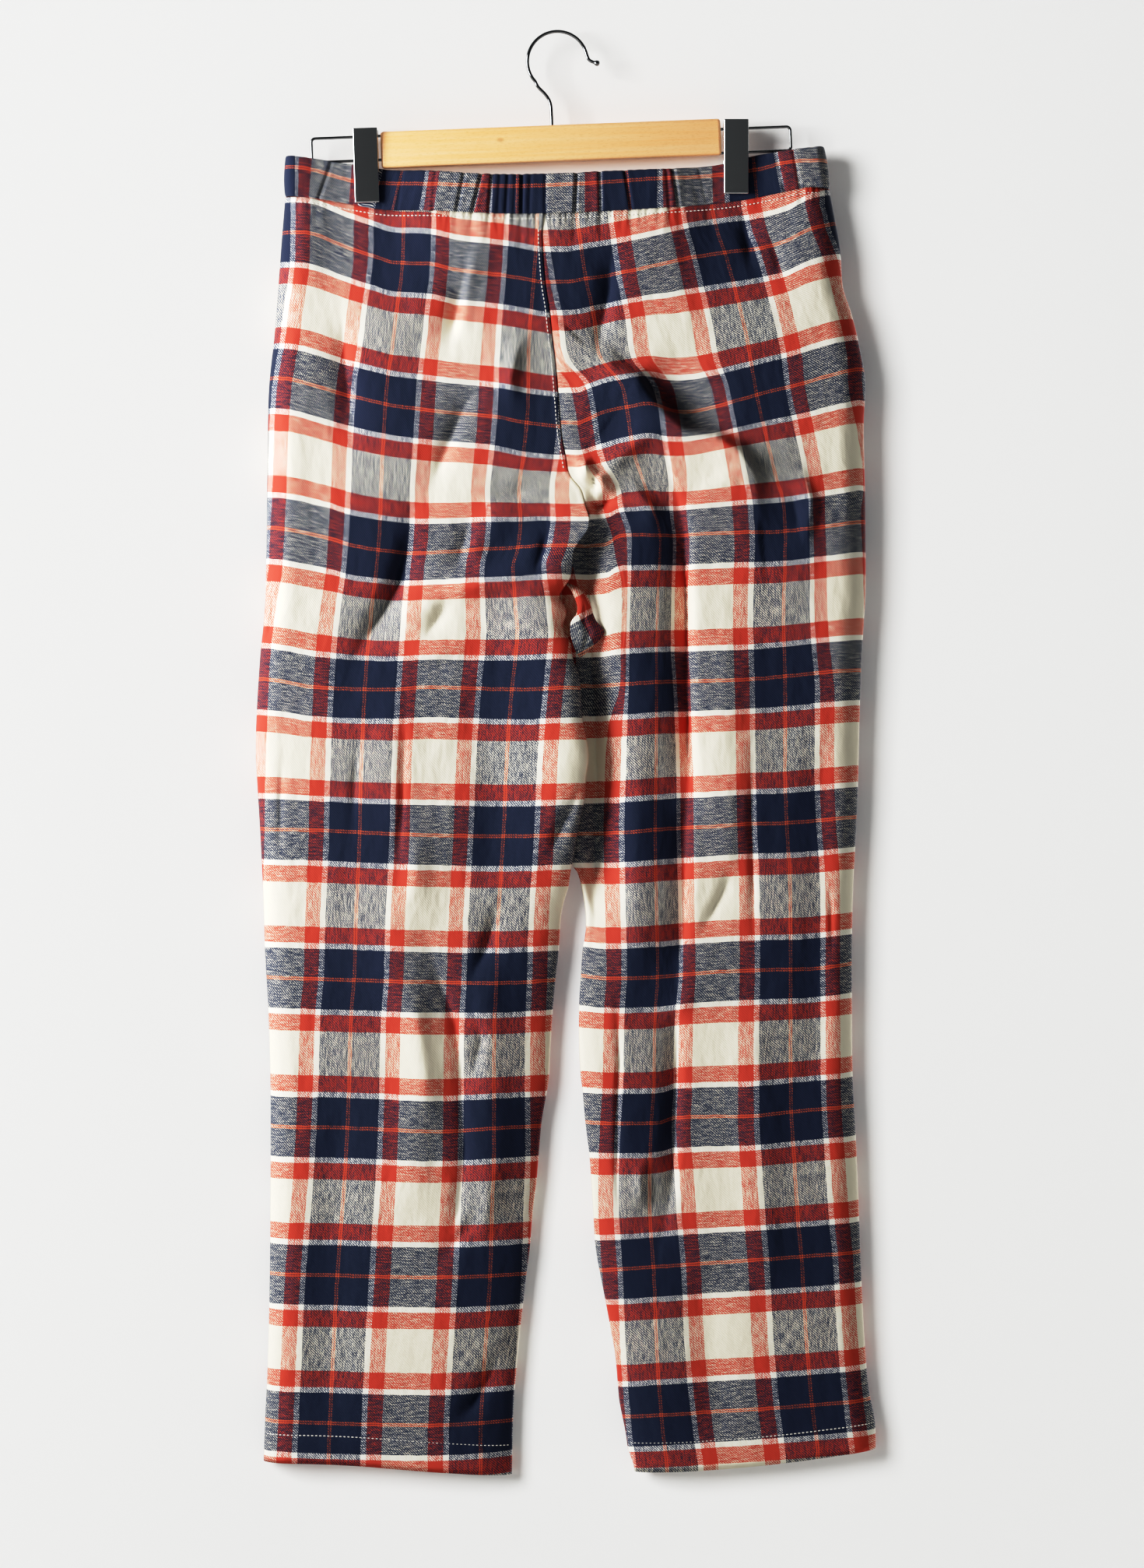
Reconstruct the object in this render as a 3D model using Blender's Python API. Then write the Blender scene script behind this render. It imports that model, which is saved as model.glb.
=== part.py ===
"""Flannel pyjama trousers clipped by the waistband to a wooden bar hanger.

The near face (-Y) is the trousers' back. The origin is where a rail carries the hook, +Z is up and +X is
the wearer's right as the back is seen. Tables and named sizes are in millimetres.
"""

import math

import bmesh
import bpy
from mathutils import Matrix, Vector

MM = 0.001
BACK, FRONT = -1, 1  # the two faces of the trousers, as the sign of Y

# Cloth
WALL = 1.6  # brushed flannel
HEM_WALL = 3.0  # the hem is turned up once, so it is two layers thick
HEM_HEIGHT = 23.0
BAND_WALL = 3.0  # casing with elastic inside
SEAM_GAP = 0.3
EDGE_RADIUS = 32.0  # how far from its side a leg rounds over to its flat face
CENTRE_TOP = -400.0  # where the seat starts to close towards the crotch
CROTCH = -455.0
SEAM_LEVEL = -134.0  # mean height of the waistband seam
HEM_LEVEL = -1104.0  # mean height of the hems
ROW_SPREAD = 0.40  # share of even spacing in the rows: the rest makes them closer near the waist
SEAM_FADE = 260.0  # how far below the waistband the rows still follow its curve
HEM_FADE = 300.0

# Mesh density
COLUMNS = 16
ROWS = 32
CROTCH_ROWS = (3.0, 10.0)  # heights above the crotch of extra rows, where the seat curves under
GATHER_CUTS = 2  # extra cuts in each column beside the waistband
BAND_STEPS = 3  # columns in each gather of the waistband

# Hanger
BAR_SIZE = (262.0, 12.0, 28.0)
BAR_CENTRE = (-5.0, 0.0, -85.4)
BAR_TILT = 2.23  # degrees: the bar's +X end is the higher one
BAR_EDGE = 1.2
WIRE_RADIUS = 1.1
HOOK_WIRE_RADIUS = 1.3
HOOK_RADIUS = 23.1  # to the middle of the wire
HOOK_SHANK_X = -4.4
HOLE_CLEARANCE = 0.3
LOOP_DEPTH_IN_BAR = 12.0
LOOP_HALF_GAP = 9.2
LOOP_CORNER = 3.0
CLIP_WIDTH = 18.3
CLIP_HEIGHT = 57.4
CLIP_SHEET = 1.0
CLIP_LIP = 2.6
CLIP_LEAN = 3.0  # degrees that each leaf leans out towards its top
CLIP_HALF_DEPTH = 3.3  # half the thickness of the cloth between the jaws
PINCH_FLAT = 12.0  # how far each side of a clip the cloth stays pressed flat
PINCH_REACH = 48.0
PINCH_DROP = 110.0

# Each side of the hanger: sign of X, reach of the wire loop past the bar, its height on the bar's end,
# and its clip's middle and tilt.
SIDES = {
    "left": {"sign": -1, "reach": 53.5, "rise": 2.0, "clip_x": -147.3, "clip_z": -102.5, "tilt": -1.8},
    "right": {"sign": 1, "reach": 53.8, "rise": -3.0, "clip_x": 137.6, "clip_z": -95.7, "tilt": 0.0},
}

# Waistband, from left to right: place across, height of its top edge and of its seam.
BAND = (
    # x, top, seam
    (-210.5, -94.5, -126.3),
    (-188.0, -97.2, -128.0),
    (-165.0, -100.6, -131.6),
    (-147.0, -102.6, -134.8),
    (-131.0, -105.6, -137.0),
    (-98.0, -106.6, -137.8),
    (-52.0, -109.2, -139.9),
    (-5.6, -108.9, -140.1),
    (36.4, -107.1, -138.3),
    (78.4, -105.3, -135.9),
    (120.4, -102.4, -132.3),
    (148.0, -95.6, -128.4),
    (176.0, -90.9, -123.1),
    (193.6, -88.8, -119.9),
    (209.0, -87.2, -120.2),
)

# Hems, from left to right: place across and height.
HEMS = (
    # x, z
    (-227.0, -1100.1),
    (-163.0, -1101.9),
    (-93.8, -1107.3),
    (-35.0, -1110.6),
    (58.6, -1107.9),
    (109.0, -1106.1),
    (170.2, -1100.7),
    (244.6, -1090.5),
)

# Outseam of each leg by height.
OUTSEAM = {
    "left": (
        # z, x
        (-126.0, -210.2),
        (-155.0, -212.6),
        (-195.0, -215.6),
        (-231.0, -218.4),
        (-274.0, -222.8),
        (-337.0, -224.0),
        (-430.0, -225.4),
        (-455.0, -227.0),
        (-478.0, -229.4),
        (-526.0, -232.4),
        (-556.0, -233.0),
        (-575.0, -232.0),
        (-622.0, -229.2),
        (-670.0, -227.0),
        (-706.0, -226.0),
        (-755.0, -223.2),
        (-814.0, -221.6),
        (-875.0, -221.6),
        (-958.0, -222.2),
        (-1024.0, -223.7),
        (-1070.0, -225.8),
        (-1112.0, -227.2),
    ),
    "right": (
        (-120.0, 209.8),
        (-142.0, 214.0),
        (-166.0, 218.2),
        (-195.0, 220.4),
        (-215.0, 226.8),
        (-240.0, 233.0),
        (-266.0, 237.4),
        (-304.0, 236.4),
        (-363.0, 237.6),
        (-430.0, 237.8),
        (-455.0, 236.4),
        (-478.0, 235.0),
        (-526.0, 233.2),
        (-590.0, 231.6),
        (-670.0, 227.8),
        (-730.0, 227.2),
        (-802.0, 227.8),
        (-862.0, 230.8),
        (-934.0, 233.6),
        (-982.0, 235.6),
        (-1042.0, 239.8),
        (-1072.0, 245.2),
        (-1112.0, 245.0),
    ),
}

# Centre seam of the seat by height, which both legs share down to the crotch.
CENTRE_SEAM = (
    # z, x
    (-126.0, -10.4),
    (-155.0, -11.4),
    (-195.0, -9.2),
    (-231.0, -4.6),
    (-274.0, 0.6),
    (-304.0, 3.4),
    (-337.0, 9.4),
    (-363.0, 20.6),
    (-380.0, 23.4),
    (-400.0, 18.0),
    (-430.0, 13.2),
    (-455.0, 12.6),
)

# Inseam of each leg by height, from the crotch down.
INSEAM = {
    "left": (
        # z, x
        (-455.0, 12.6),
        (-478.0, 15.4),
        (-526.0, 19.4),
        (-556.0, 23.6),
        (-575.0, 22.4),
        (-622.0, 14.2),
        (-670.0, 4.6),
        (-706.0, 1.0),
        (-755.0, -3.8),
        (-814.0, -8.2),
        (-875.0, -15.6),
        (-958.0, -24.2),
        (-1024.0, -31.2),
        (-1070.0, -34.4),
        (-1112.0, -35.4),
    ),
    "right": (
        (-455.0, 12.6),
        (-478.0, 15.2),
        (-526.0, 14.2),
        (-556.0, 17.4),
        (-590.0, 15.0),
        (-625.0, 12.4),
        (-647.0, 15.6),
        (-670.0, 20.8),
        (-690.0, 21.8),
        (-730.0, 17.8),
        (-764.0, 16.6),
        (-802.0, 17.8),
        (-862.0, 23.6),
        (-934.0, 29.4),
        (-982.0, 38.2),
        (-1042.0, 47.0),
        (-1112.0, 60.0),
    ),
}

# Half the thickness that the trousers hang at, by height.
HANG = (
    # z, half_depth
    (-86.0, 9.0),
    (-134.0, 10.5),
    (-200.0, 14.0),
    (-300.0, 16.0),
    (-400.0, 14.5),
    (-500.0, 12.5),
    (-700.0, 11.0),
    (-950.0, 11.0),
    (-1112.0, 12.5),
)

# How far each leg's inner side passes in front of or behind the other, by height.
OVERLAP = (
    # z, shift
    (-455.0, 0.0),
    (-490.0, 6.4),
    (-560.0, 6.8),
    (-630.0, 6.4),
    (-700.0, 0.0),
)

# Largest folds, from their upper to their lower end: how wide they are to each side, and how far they
# stand out (+) or sink in (-).
FOLDS = {
    ("left", BACK): (
        # x_top, z_top, x_end, z_end, width, height
        (-76, -180, -70, -252, 15, -3.0),
        (-46, -236, -74, -266, 14, -2.5),
        (-74, -326, -114, -392, 17, -4.5),
        (-36, -362, -66, -404, 15, 3.0),
        (-10, -414, -112, -436, 14, 4.5),
        (-68, -420, -98, -470, 14, -4.0),
        (-100, -440, -92, -482, 24, 4.0),
        (-163, -202, -178, -390, 20, -3.5),
        (-205, -300, -212, -470, 13, 3.0),
        (-125, -512, -124, -756, 20, 4.0),
        (-60, -500, -48, -650, 18, -3.0),
        (-87, -700, -72, -800, 15, -5.0),
        (-72, -800, -92, -952, 15, -5.0),
        (-56, -720, -48, -900, 15, 3.5),
        (-108, -740, -112, -900, 16, 3.0),
        (14, -584, -8, -640, 14, -3.0),
        (-38, -1012, -80, -1072, 14, -3.5),
        (-170, -820, -176, -1060, 18, -3.0),
    ),
    ("right", BACK): (
        (28, -248, 100, -306, 15, 5.0),
        (100, -306, 156, -362, 15, 4.5),
        (60, -296, 128, -352, 15, -4.0),
        (34, -336, 78, -308, 14, 3.5),
        (22, -420, 26, -486, 12, 4.5),
        (91, -392, 98, -560, 17, -5.5),
        (98, -560, 98, -700, 17, -5.5),
        (89, -722, 80, -912, 17, -4.5),
        (130, -470, 132, -640, 18, 3.5),
        (188, -326, 192, -420, 17, 4.0),
        (136, -658, 108, -704, 14, -3.0),
        (45, -780, 46, -912, 12, -3.0),
        (34, -490, 34, -640, 15, -3.0),
        (60, -560, 62, -720, 14, 3.0),
        (150, -760, 158, -960, 18, 3.5),
        (205, -560, 200, -800, 16, -3.0),
        (112, -960, 122, -1080, 16, -3.0),
    ),
    ("left", FRONT): (
        (-60, -190, -66, -300, 17, -3.5),
        (-20, -300, -90, -352, 16, 4.0),
        (-24, -372, -120, -410, 16, -3.5),
        (-140, -220, -150, -420, 20, 3.5),
        (-100, -500, -104, -760, 20, -4.5),
        (-150, -560, -150, -840, 20, 3.5),
        (-58, -640, -64, -880, 16, 3.5),
        (-120, -860, -128, -1070, 18, -4.0),
        (-185, -700, -186, -980, 16, -3.0),
    ),
    ("right", FRONT): (
        (70, -190, 78, -300, 17, -3.5),
        (34, -300, 104, -356, 16, 4.0),
        (36, -372, 130, -414, 16, -3.5),
        (160, -220, 170, -420, 20, 3.0),
        (110, -500, 108, -760, 20, -4.5),
        (160, -540, 160, -820, 20, 3.5),
        (64, -660, 72, -880, 16, 3.5),
        (140, -860, 150, -1066, 18, -4.0),
        (200, -700, 204, -960, 16, -3.0),
    ),
}

# Gathers in the elastic waistband: where each crease lies across the trousers, on either face.
GATHERS = {
    BACK: (
        -199, -184, -172, -163, -127, -120, -106, -94, -85, -76, -66, -55, -46, -34, -26, -10,
        2, 11, 17, 32, 50, 59, 71, 80, 92, 104, 113, 122, 153, 161, 172, 182, 196,
    ),
    FRONT: (
        -198, -186, -174, -164, -128, -117, -108, -96, -88, -75, -64, -56, -43, -33, -21, -12,
        1, 12, 22, 31, 44, 56, 66, 79, 88, 98, 110, 121, 152, 162, 173, 185, 197,
    ),
}  # fmt: skip
GATHER_HEIGHT = 1.7  # how far the cloth puffs out between two creases
GATHER_REACH = 34.0  # how far the gathers run down from the waistband seam


def clamp(value, low=0.0, high=1.0):
    return max(low, min(high, value))


def smooth(value):
    value = clamp(value)
    return value * value * (3.0 - 2.0 * value)


def read_table(rows, at, column, key=0):
    """Value of one column of a table at a place, on a smooth curve through its rows."""
    ordered = sorted(rows, key=lambda row: row[key])
    if at <= ordered[0][key]:
        return ordered[0][column]
    if at >= ordered[-1][key]:
        return ordered[-1][column]
    place = next(i for i, row in enumerate(ordered) if row[key] > at) - 1
    low, high = ordered[place], ordered[place + 1]
    before = ordered[max(place - 1, 0)]
    after = ordered[min(place + 2, len(ordered) - 1)]
    span = high[key] - low[key]
    share = (at - low[key]) / span
    slope_low = (high[column] - before[column]) / (high[key] - before[key]) * span
    slope_high = (after[column] - low[column]) / (after[key] - low[key]) * span
    square, cube = share**2, share**3
    return (
        (2 * cube - 3 * square + 1) * low[column]
        + (cube - 2 * square + share) * slope_low
        + (3 * square - 2 * cube) * high[column]
        + (cube - square) * slope_high
    )


def band_top(x):
    return read_table(BAND, x, 1)


def band_seam(x):
    return read_table(BAND, x, 2)


def inner_edge(side, z):
    """Centre seam above the crotch, inseam below it."""
    return read_table(CENTRE_SEAM if z > CROTCH else INSEAM[side], z, 1)


def pinch(x, z):
    """1 where a clip presses the cloth flat, falling to 0 around it."""
    most = 0.0
    for side in SIDES.values():
        across = smooth(1.0 - (abs(x - side["clip_x"]) - PINCH_FLAT) / PINCH_REACH)
        jaw = side["clip_z"] - CLIP_HEIGHT / 2
        below = smooth(1.0 - (jaw - z) / PINCH_DROP)
        most = max(most, across * below)
    return most


def hang_depth(x, z):
    """Half the thickness of the hanging cloth, away from its sides."""
    loose = read_table(HANG, z, 1)
    return loose + (CLIP_HALF_DEPTH - loose) * pinch(x, z)


def gather_puff(x, face):
    """How far the cloth stands out between the creases on either side of a place."""
    creases = GATHERS[face]
    if not creases[0] < x < creases[-1]:
        return 0.0
    place = next(i for i, crease in enumerate(creases) if crease >= x)
    low, high = creases[place - 1], creases[place]
    share = (x - low) / (high - low)
    fullness = clamp((high - low) / 12.0, 0.5, 1.0)
    return GATHER_HEIGHT * fullness * math.sin(math.pi * share) ** 0.7


def fold_height(x, z, side, face):
    """Sum of the folds near a place: each is a soft ridge or trough that dies out at its ends."""
    total = 0.0
    for x_top, z_top, x_end, z_end, width, height in FOLDS[side, face]:
        run = Vector((x_end - x_top, z_end - z_top))
        offset = Vector((x - x_top, z - z_top))
        along = offset.dot(run) / run.length_squared
        nearest = run * clamp(along)
        apart = (offset - nearest).length / width
        ends = smooth(along / 0.3 + 0.5) * smooth((1.0 - along) / 0.3 + 0.5)
        total += height * ends * math.exp(-apart * apart)
    return total


def level_at(down):
    """Mean height of a row, from 0 at the waistband to 1 at the hem."""
    share = ROW_SPREAD * down + (1.0 - ROW_SPREAD) * down * down
    return SEAM_LEVEL + (HEM_LEVEL - SEAM_LEVEL) * share


def row_at(level):
    """Inverse of level_at."""
    share = (level - SEAM_LEVEL) / (HEM_LEVEL - SEAM_LEVEL)
    square = 1.0 - ROW_SPREAD
    return (math.sqrt(ROW_SPREAD**2 + 4.0 * square * share) - ROW_SPREAD) / (2.0 * square)


def seat_closure(z):
    """1 where the two faces are apart at the centre seam, down to 0 where they meet at the crotch."""
    return math.sqrt(1.0 - clamp((CENTRE_TOP - z) / (CENTRE_TOP - CROTCH)) ** 2)


def panel_point(across, down, side, face):
    """Outer surface of a leg panel, from its outseam (0) to its centre seam and inseam (1)."""
    spread = 0.35 * across + 0.65 * (0.5 - 0.5 * math.cos(math.pi * across))
    level = level_at(down)
    z = level
    below_seam = clamp(1.0 - (SEAM_LEVEL - level) / SEAM_FADE) ** 1.5
    above_hem = clamp(1.0 - (level - HEM_LEVEL) / HEM_FADE) ** 1.5
    for _ in range(3):
        outer = read_table(OUTSEAM[side], z, 1)
        inner = inner_edge(side, z)
        x = outer + (inner - outer) * spread
        hem = read_table(HEMS, x, 1)
        if face == FRONT and side == "left":
            hem -= 3.0 * math.sin(math.pi * across)
        z = level + (band_seam(x) - SEAM_LEVEL) * below_seam + (hem - HEM_LEVEL) * above_hem
    z -= SEAM_GAP / 2 * below_seam
    outwards = SIDES[side]["sign"]
    x += outwards * SEAM_GAP / 2 * smooth(across * 2.0 - 1.0)

    from_outer = clamp(abs(x - outer) / EDGE_RADIUS)
    from_inner = clamp(abs(x - inner) / EDGE_RADIUS)
    closure = seat_closure(z)
    outer_round = math.sqrt(1.0 - (1.0 - from_outer) ** 2)
    inner_round = math.sqrt(clamp(1.0 - (1.0 - closure**2) * (1.0 - from_inner) ** 2))
    shape = hang_depth(x, z) * outer_round * inner_round
    shape += fold_height(x, z, side, face) * smooth(across * 5.0) * smooth((1.0 - across) * 5.0)
    reach = clamp(1.0 - (band_seam(x) - z) / GATHER_REACH)
    shape += gather_puff(x, face) * reach**1.5 * (1.0 - pinch(x, z)) * outer_round

    shift = read_table(OVERLAP, z, 1) if CROTCH > z > OVERLAP[-1][0] else 0.0
    middle = outwards * shift * smooth(across * 1.6 - 0.6)
    return Vector((x, middle + face * (shape + SEAM_GAP / 2), z))


def inward(across, down, side, face):
    """Direction from the outer surface into the wall. It stays in the plane of each seam it runs along."""
    step = 0.002
    left = panel_point(max(across - step, 0.0), down, side, face)
    right = panel_point(min(across + step, 1.0), down, side, face)
    upper = panel_point(across, max(down - step, 0.0), side, face)
    lower = panel_point(across, min(down + step, 1.0), side, face)
    normal = (right - left).cross(lower - upper)
    if normal.y * face > 0:
        normal.negate()
    edge = 1e-6
    outwards = SIDES[side]["sign"]
    if across < edge:
        normal = Vector((-outwards, 0.0, 0.0))
    elif across > 1.0 - edge:
        crotch = row_at(CROTCH)
        if abs(down - crotch) < edge:
            normal = Vector((outwards, 0.0, 1.0))
        elif down > crotch:
            normal = Vector((outwards, 0.0, 0.0))
        else:
            here = panel_point(1.0, down, side, face)
            run = (lower - upper if down < edge else here - upper).normalized()
            sideways = outwards * (1.0 - seat_closure(here.z))
            normal = Vector((sideways, -face * abs(run.z), abs(run.y)))
    if down < edge or down > 1.0 - edge:
        normal.z = 0.0
    return normal.normalized()


def clear_scene():
    for item in list(bpy.data.objects):
        bpy.data.objects.remove(item)


def material(name, colour, roughness, metallic=0.0):
    made = bpy.data.materials.new(name)
    made.use_nodes = True
    shader = made.node_tree.nodes["Principled BSDF"]
    shader.inputs["Base Color"].default_value = (*colour, 1.0)
    shader.inputs["Roughness"].default_value = roughness
    shader.inputs["Metallic"].default_value = metallic
    return made


def add_object(name, data, finish, parent=None):
    made = bpy.data.objects.new(name, data)
    bpy.context.scene.collection.objects.link(made)
    made.data.materials.append(finish)
    made.parent = parent
    return made


def mesh_object(name, bm, finish, parent=None):
    bmesh.ops.recalc_face_normals(bm, faces=bm.faces)
    mesh = bpy.data.meshes.new(name)
    bm.to_mesh(mesh)
    bm.free()
    mesh.shade_smooth()
    mesh.set_sharp_from_angle(angle=math.radians(40))
    return add_object(name, mesh, finish, parent)


def walled(bm, place, inset):
    """Gives a flat sheet of (across, down) points a second layer, then moves both to their places."""
    bmesh.ops.triangulate(bm, faces=bm.faces[:])
    grown = bmesh.ops.extrude_face_region(bm, geom=bm.faces[:], use_keep_orig=True)
    outer = {item for item in grown["geom"] if isinstance(item, bmesh.types.BMVert)}
    for vertex in bm.verts:
        across, down = vertex.co.x, vertex.co.y
        point = place(across, down)
        if vertex not in outer:
            point = point + inset(across, down)
        vertex.co = point * MM


def unit_grid(columns, rows):
    """A flat grid from (0, 0) to (1, 1)."""
    bm = bmesh.new()
    bmesh.ops.create_grid(bm, x_segments=columns, y_segments=rows, size=0.5)
    bmesh.ops.translate(bm, verts=bm.verts, vec=(0.5, 0.5, 0.0))
    return bm


def cut_row(bm, down):
    """Adds a row of edges at one height of a flat grid."""
    everything = bm.verts[:] + bm.edges[:] + bm.faces[:]
    bmesh.ops.bisect_plane(bm, geom=everything, plane_co=(0.0, down, 0.0), plane_no=(0.0, 1.0, 0.0))


def snap_row(bm, down):
    """Moves the nearest row of a flat grid to one height, and returns that height."""
    nearest = min((vertex.co.y for vertex in bm.verts), key=lambda y: abs(y - down))
    for vertex in bm.verts:
        if abs(vertex.co.y - nearest) < 1e-6:
            vertex.co.y = down


def leg_panel(name, side, face, cloth):
    bm = unit_grid(COLUMNS, ROWS)
    snap_row(bm, row_at(CROTCH))
    for above_crotch in CROTCH_ROWS:
        cut_row(bm, row_at(CROTCH + above_crotch))
    hem_step = row_at(HEM_LEVEL + HEM_HEIGHT)
    hem_edge = row_at(HEM_LEVEL + HEM_HEIGHT + 2.0)
    cut_row(bm, hem_step)
    cut_row(bm, hem_edge)
    gathered = [
        edge
        for edge in bm.edges
        if abs(edge.verts[0].co.y - edge.verts[1].co.y) < 1e-6
        and edge.verts[0].co.y < row_at(SEAM_LEVEL - GATHER_REACH)
    ]
    bmesh.ops.subdivide_edges(bm, edges=gathered, cuts=GATHER_CUTS, use_grid_fill=True)

    def place(across, down):
        return panel_point(across, down, side, face)

    def inset(across, down):
        wall = HEM_WALL if down > hem_step - 1e-6 else WALL
        return inward(across, down, side, face) * wall

    walled(bm, place, inset)
    return mesh_object(name, bm, cloth)


def band_columns():
    """Places round the waistband, each (x, face): across the back, then back across the front."""
    columns = []
    for face in (BACK, FRONT):
        creases = GATHERS[face]
        line = []
        for low, high in zip(creases, creases[1:]):
            line += [low + (high - low) * step / BAND_STEPS for step in range(BAND_STEPS)]
        line.append(creases[-1])
        columns += [(x, face) for x in (line if face == BACK else reversed(line))]
        turn = 4
        end = BAND[-1][0] if face == BACK else BAND[0][0]
        reach = end - columns[-1][0]
        for step in range(1, turn):
            angle = math.pi / 2 * step / turn
            columns.append((end - reach * (1.0 - math.sin(angle)), face))
        columns.append((end, 0))
        for step in reversed(range(1, turn)):
            angle = math.pi / 2 * step / turn
            columns.append((end - reach * (1.0 - math.sin(angle)), -face))
    return columns


def band_depth(x, face, inner):
    """Y of the waistband's outer or inner side at a place, with its ends rounded."""
    if face == 0:
        return 0.0
    wall = BAND_WALL if inner else 0.0
    end = BAND[-1][0] if x > 0 else BAND[0][0]
    last = GATHERS[face][-1] if x > 0 else GATHERS[face][0]
    beyond = clamp((x - last) / (end - last))
    depth = hang_depth(x, band_seam(x)) - wall
    if not inner:
        depth += gather_puff(x, face) * (1.0 - pinch(x, band_seam(x)))
    return face * depth * math.sqrt(1.0 - beyond**2)


def waistband(cloth):
    columns = band_columns()
    levels = (0.0, 0.5, 1.0)
    bm = bmesh.new()
    rings = {}
    for inner in (False, True):
        for level in levels:
            ring = []
            for x, face in columns:
                y = band_depth(x, face, inner)
                if face == 0 and inner:
                    x -= math.copysign(BAND_WALL, x)
                crown = 0.7 * (1.0 - pinch(x, band_seam(x))) if level == 0.5 and not inner else 0.0
                top, seam = band_top(x), band_seam(x) + SEAM_GAP / 2
                ring.append(bm.verts.new(Vector((x, y + face * crown, top + (seam - top) * level)) * MM))
            rings[inner, level] = [bm.edges.new((a, b)) for a, b in zip(ring, ring[1:] + ring[:1])]
    order = [(False, 0.0), (False, 0.5), (False, 1.0), (True, 1.0), (True, 0.5), (True, 0.0)]
    for first, second in zip(order, order[1:] + order[:1]):
        bmesh.ops.bridge_loops(bm, edges=rings[first] + rings[second])
    return mesh_object("waistband", bm, cloth)


def bar_frame():
    """The empty that the bar, its wire loops and the clips' blocks hang on."""
    frame = bpy.data.objects.new("hanger_frame", None)
    bpy.context.scene.collection.objects.link(frame)
    frame.location = Vector(BAR_CENTRE) * MM
    frame.rotation_euler = (0.0, math.radians(-BAR_TILT), 0.0)
    return frame


def cutter(name, centre, radius, depth, axis, parent=None):
    """A drill: a cylinder that a Boolean takes away."""
    bm = bmesh.new()
    bmesh.ops.create_cone(
        bm, cap_ends=True, segments=12, radius1=radius * MM, radius2=radius * MM, depth=depth * MM
    )
    turn = Vector((0.0, 0.0, 1.0)).rotation_difference(Vector(axis)).to_matrix().to_4x4()
    bmesh.ops.transform(bm, verts=bm.verts, matrix=Matrix.Translation(Vector(centre) * MM) @ turn)
    mesh = bpy.data.meshes.new(name)
    bm.to_mesh(mesh)
    bm.free()
    made = bpy.data.objects.new(name, mesh)
    bpy.context.scene.collection.objects.link(made)
    made.parent = parent
    made.hide_render = True
    made.display_type = "WIRE"
    return made


def hanger_bar(frame, wood):
    bm = bmesh.new()
    bmesh.ops.create_cube(bm, size=1.0)
    bmesh.ops.scale(bm, verts=bm.verts, vec=Vector(BAR_SIZE) * MM)
    bar = mesh_object("hanger_bar", bm, wood, frame)
    edge = bar.modifiers.new("Rounded edges", "BEVEL")
    edge.width = BAR_EDGE * MM
    edge.segments = 2
    edge.limit_method = "ANGLE"
    shank_hole = HOOK_WIRE_RADIUS + HOLE_CLEARANCE
    drills = [
        cutter("drill_hook", (HOOK_SHANK_X, 0.0, -75.0), shank_hole, 32.0, (0, 0, 1)),
    ]
    for name, side in SIDES.items():
        for level, sign in (("upper", 1), ("lower", -1)):
            centre = (side["sign"] * BAR_SIZE[0] / 2, 0.0, side["rise"] + sign * LOOP_HALF_GAP)
            depth = 2 * (LOOP_DEPTH_IN_BAR + 1.0)
            drill = cutter(
                f"drill_{name}_{level}", centre, WIRE_RADIUS + HOLE_CLEARANCE, depth, (1, 0, 0), frame
            )
            drills.append(drill)
    for drill in drills:
        hole = bar.modifiers.new(drill.name, "BOOLEAN")
        hole.operation = "DIFFERENCE"
        hole.solver = "EXACT"
        hole.object = drill
    return bar


def wire(name, points, radius, finish, parent=None, tip=1.0):
    """Round wire bent along points, with filled ends. The last point may swell to a bead."""
    curve = bpy.data.curves.new(name, "CURVE")
    curve.dimensions = "3D"
    curve.bevel_depth = radius * MM
    curve.bevel_resolution = 2
    curve.use_fill_caps = True
    spline = curve.splines.new("POLY")
    spline.points.add(len(points) - 1)
    for place, point in zip(spline.points, points):
        place.co = (*(Vector(point) * MM), 1.0)
    for place in spline.points[-2:]:
        place.radius = tip
    return add_object(name, curve, finish, parent)


def arc(centre, radius, start, end, steps):
    """Points on an arc in the XZ plane, from one angle to another in degrees."""
    angles = [math.radians(start + (end - start) * step / steps) for step in range(steps + 1)]
    return [
        (centre[0] + radius * math.cos(angle), 0.0, centre[1] + radius * math.sin(angle))
        for angle in angles
    ]


def hook(chrome):
    """Question-mark hook: shank, offset bend, round bow and a turned-out tip."""
    middle = -(HOOK_RADIUS - HOOK_WIRE_RADIUS)
    shank = [
        (HOOK_SHANK_X, 0.0, -86.0),
        (HOOK_SHANK_X, 0.0, -70.0),
        (HOOK_SHANK_X - 0.4, 0.0, -60.0),
        (HOOK_SHANK_X - 1.0, 0.0, -54.5),
        (HOOK_SHANK_X - 2.6, 0.0, -50.6),
        (HOOK_SHANK_X - 5.2, 0.0, -47.0),
        (HOOK_SHANK_X - 10.6, 0.0, -41.4),
    ]
    bow = arc((0.0, middle), HOOK_RADIUS, 222.0, 16.0, 26)
    tip = [(23.0, 0.0, -18.2), (24.6, 0.0, -20.2), (27.0, 0.0, -21.4), (30.0, 0.0, -22.6)]
    return wire("hanger_hook", shank + bow + tip, HOOK_WIRE_RADIUS, chrome, tip=1.3)


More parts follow.
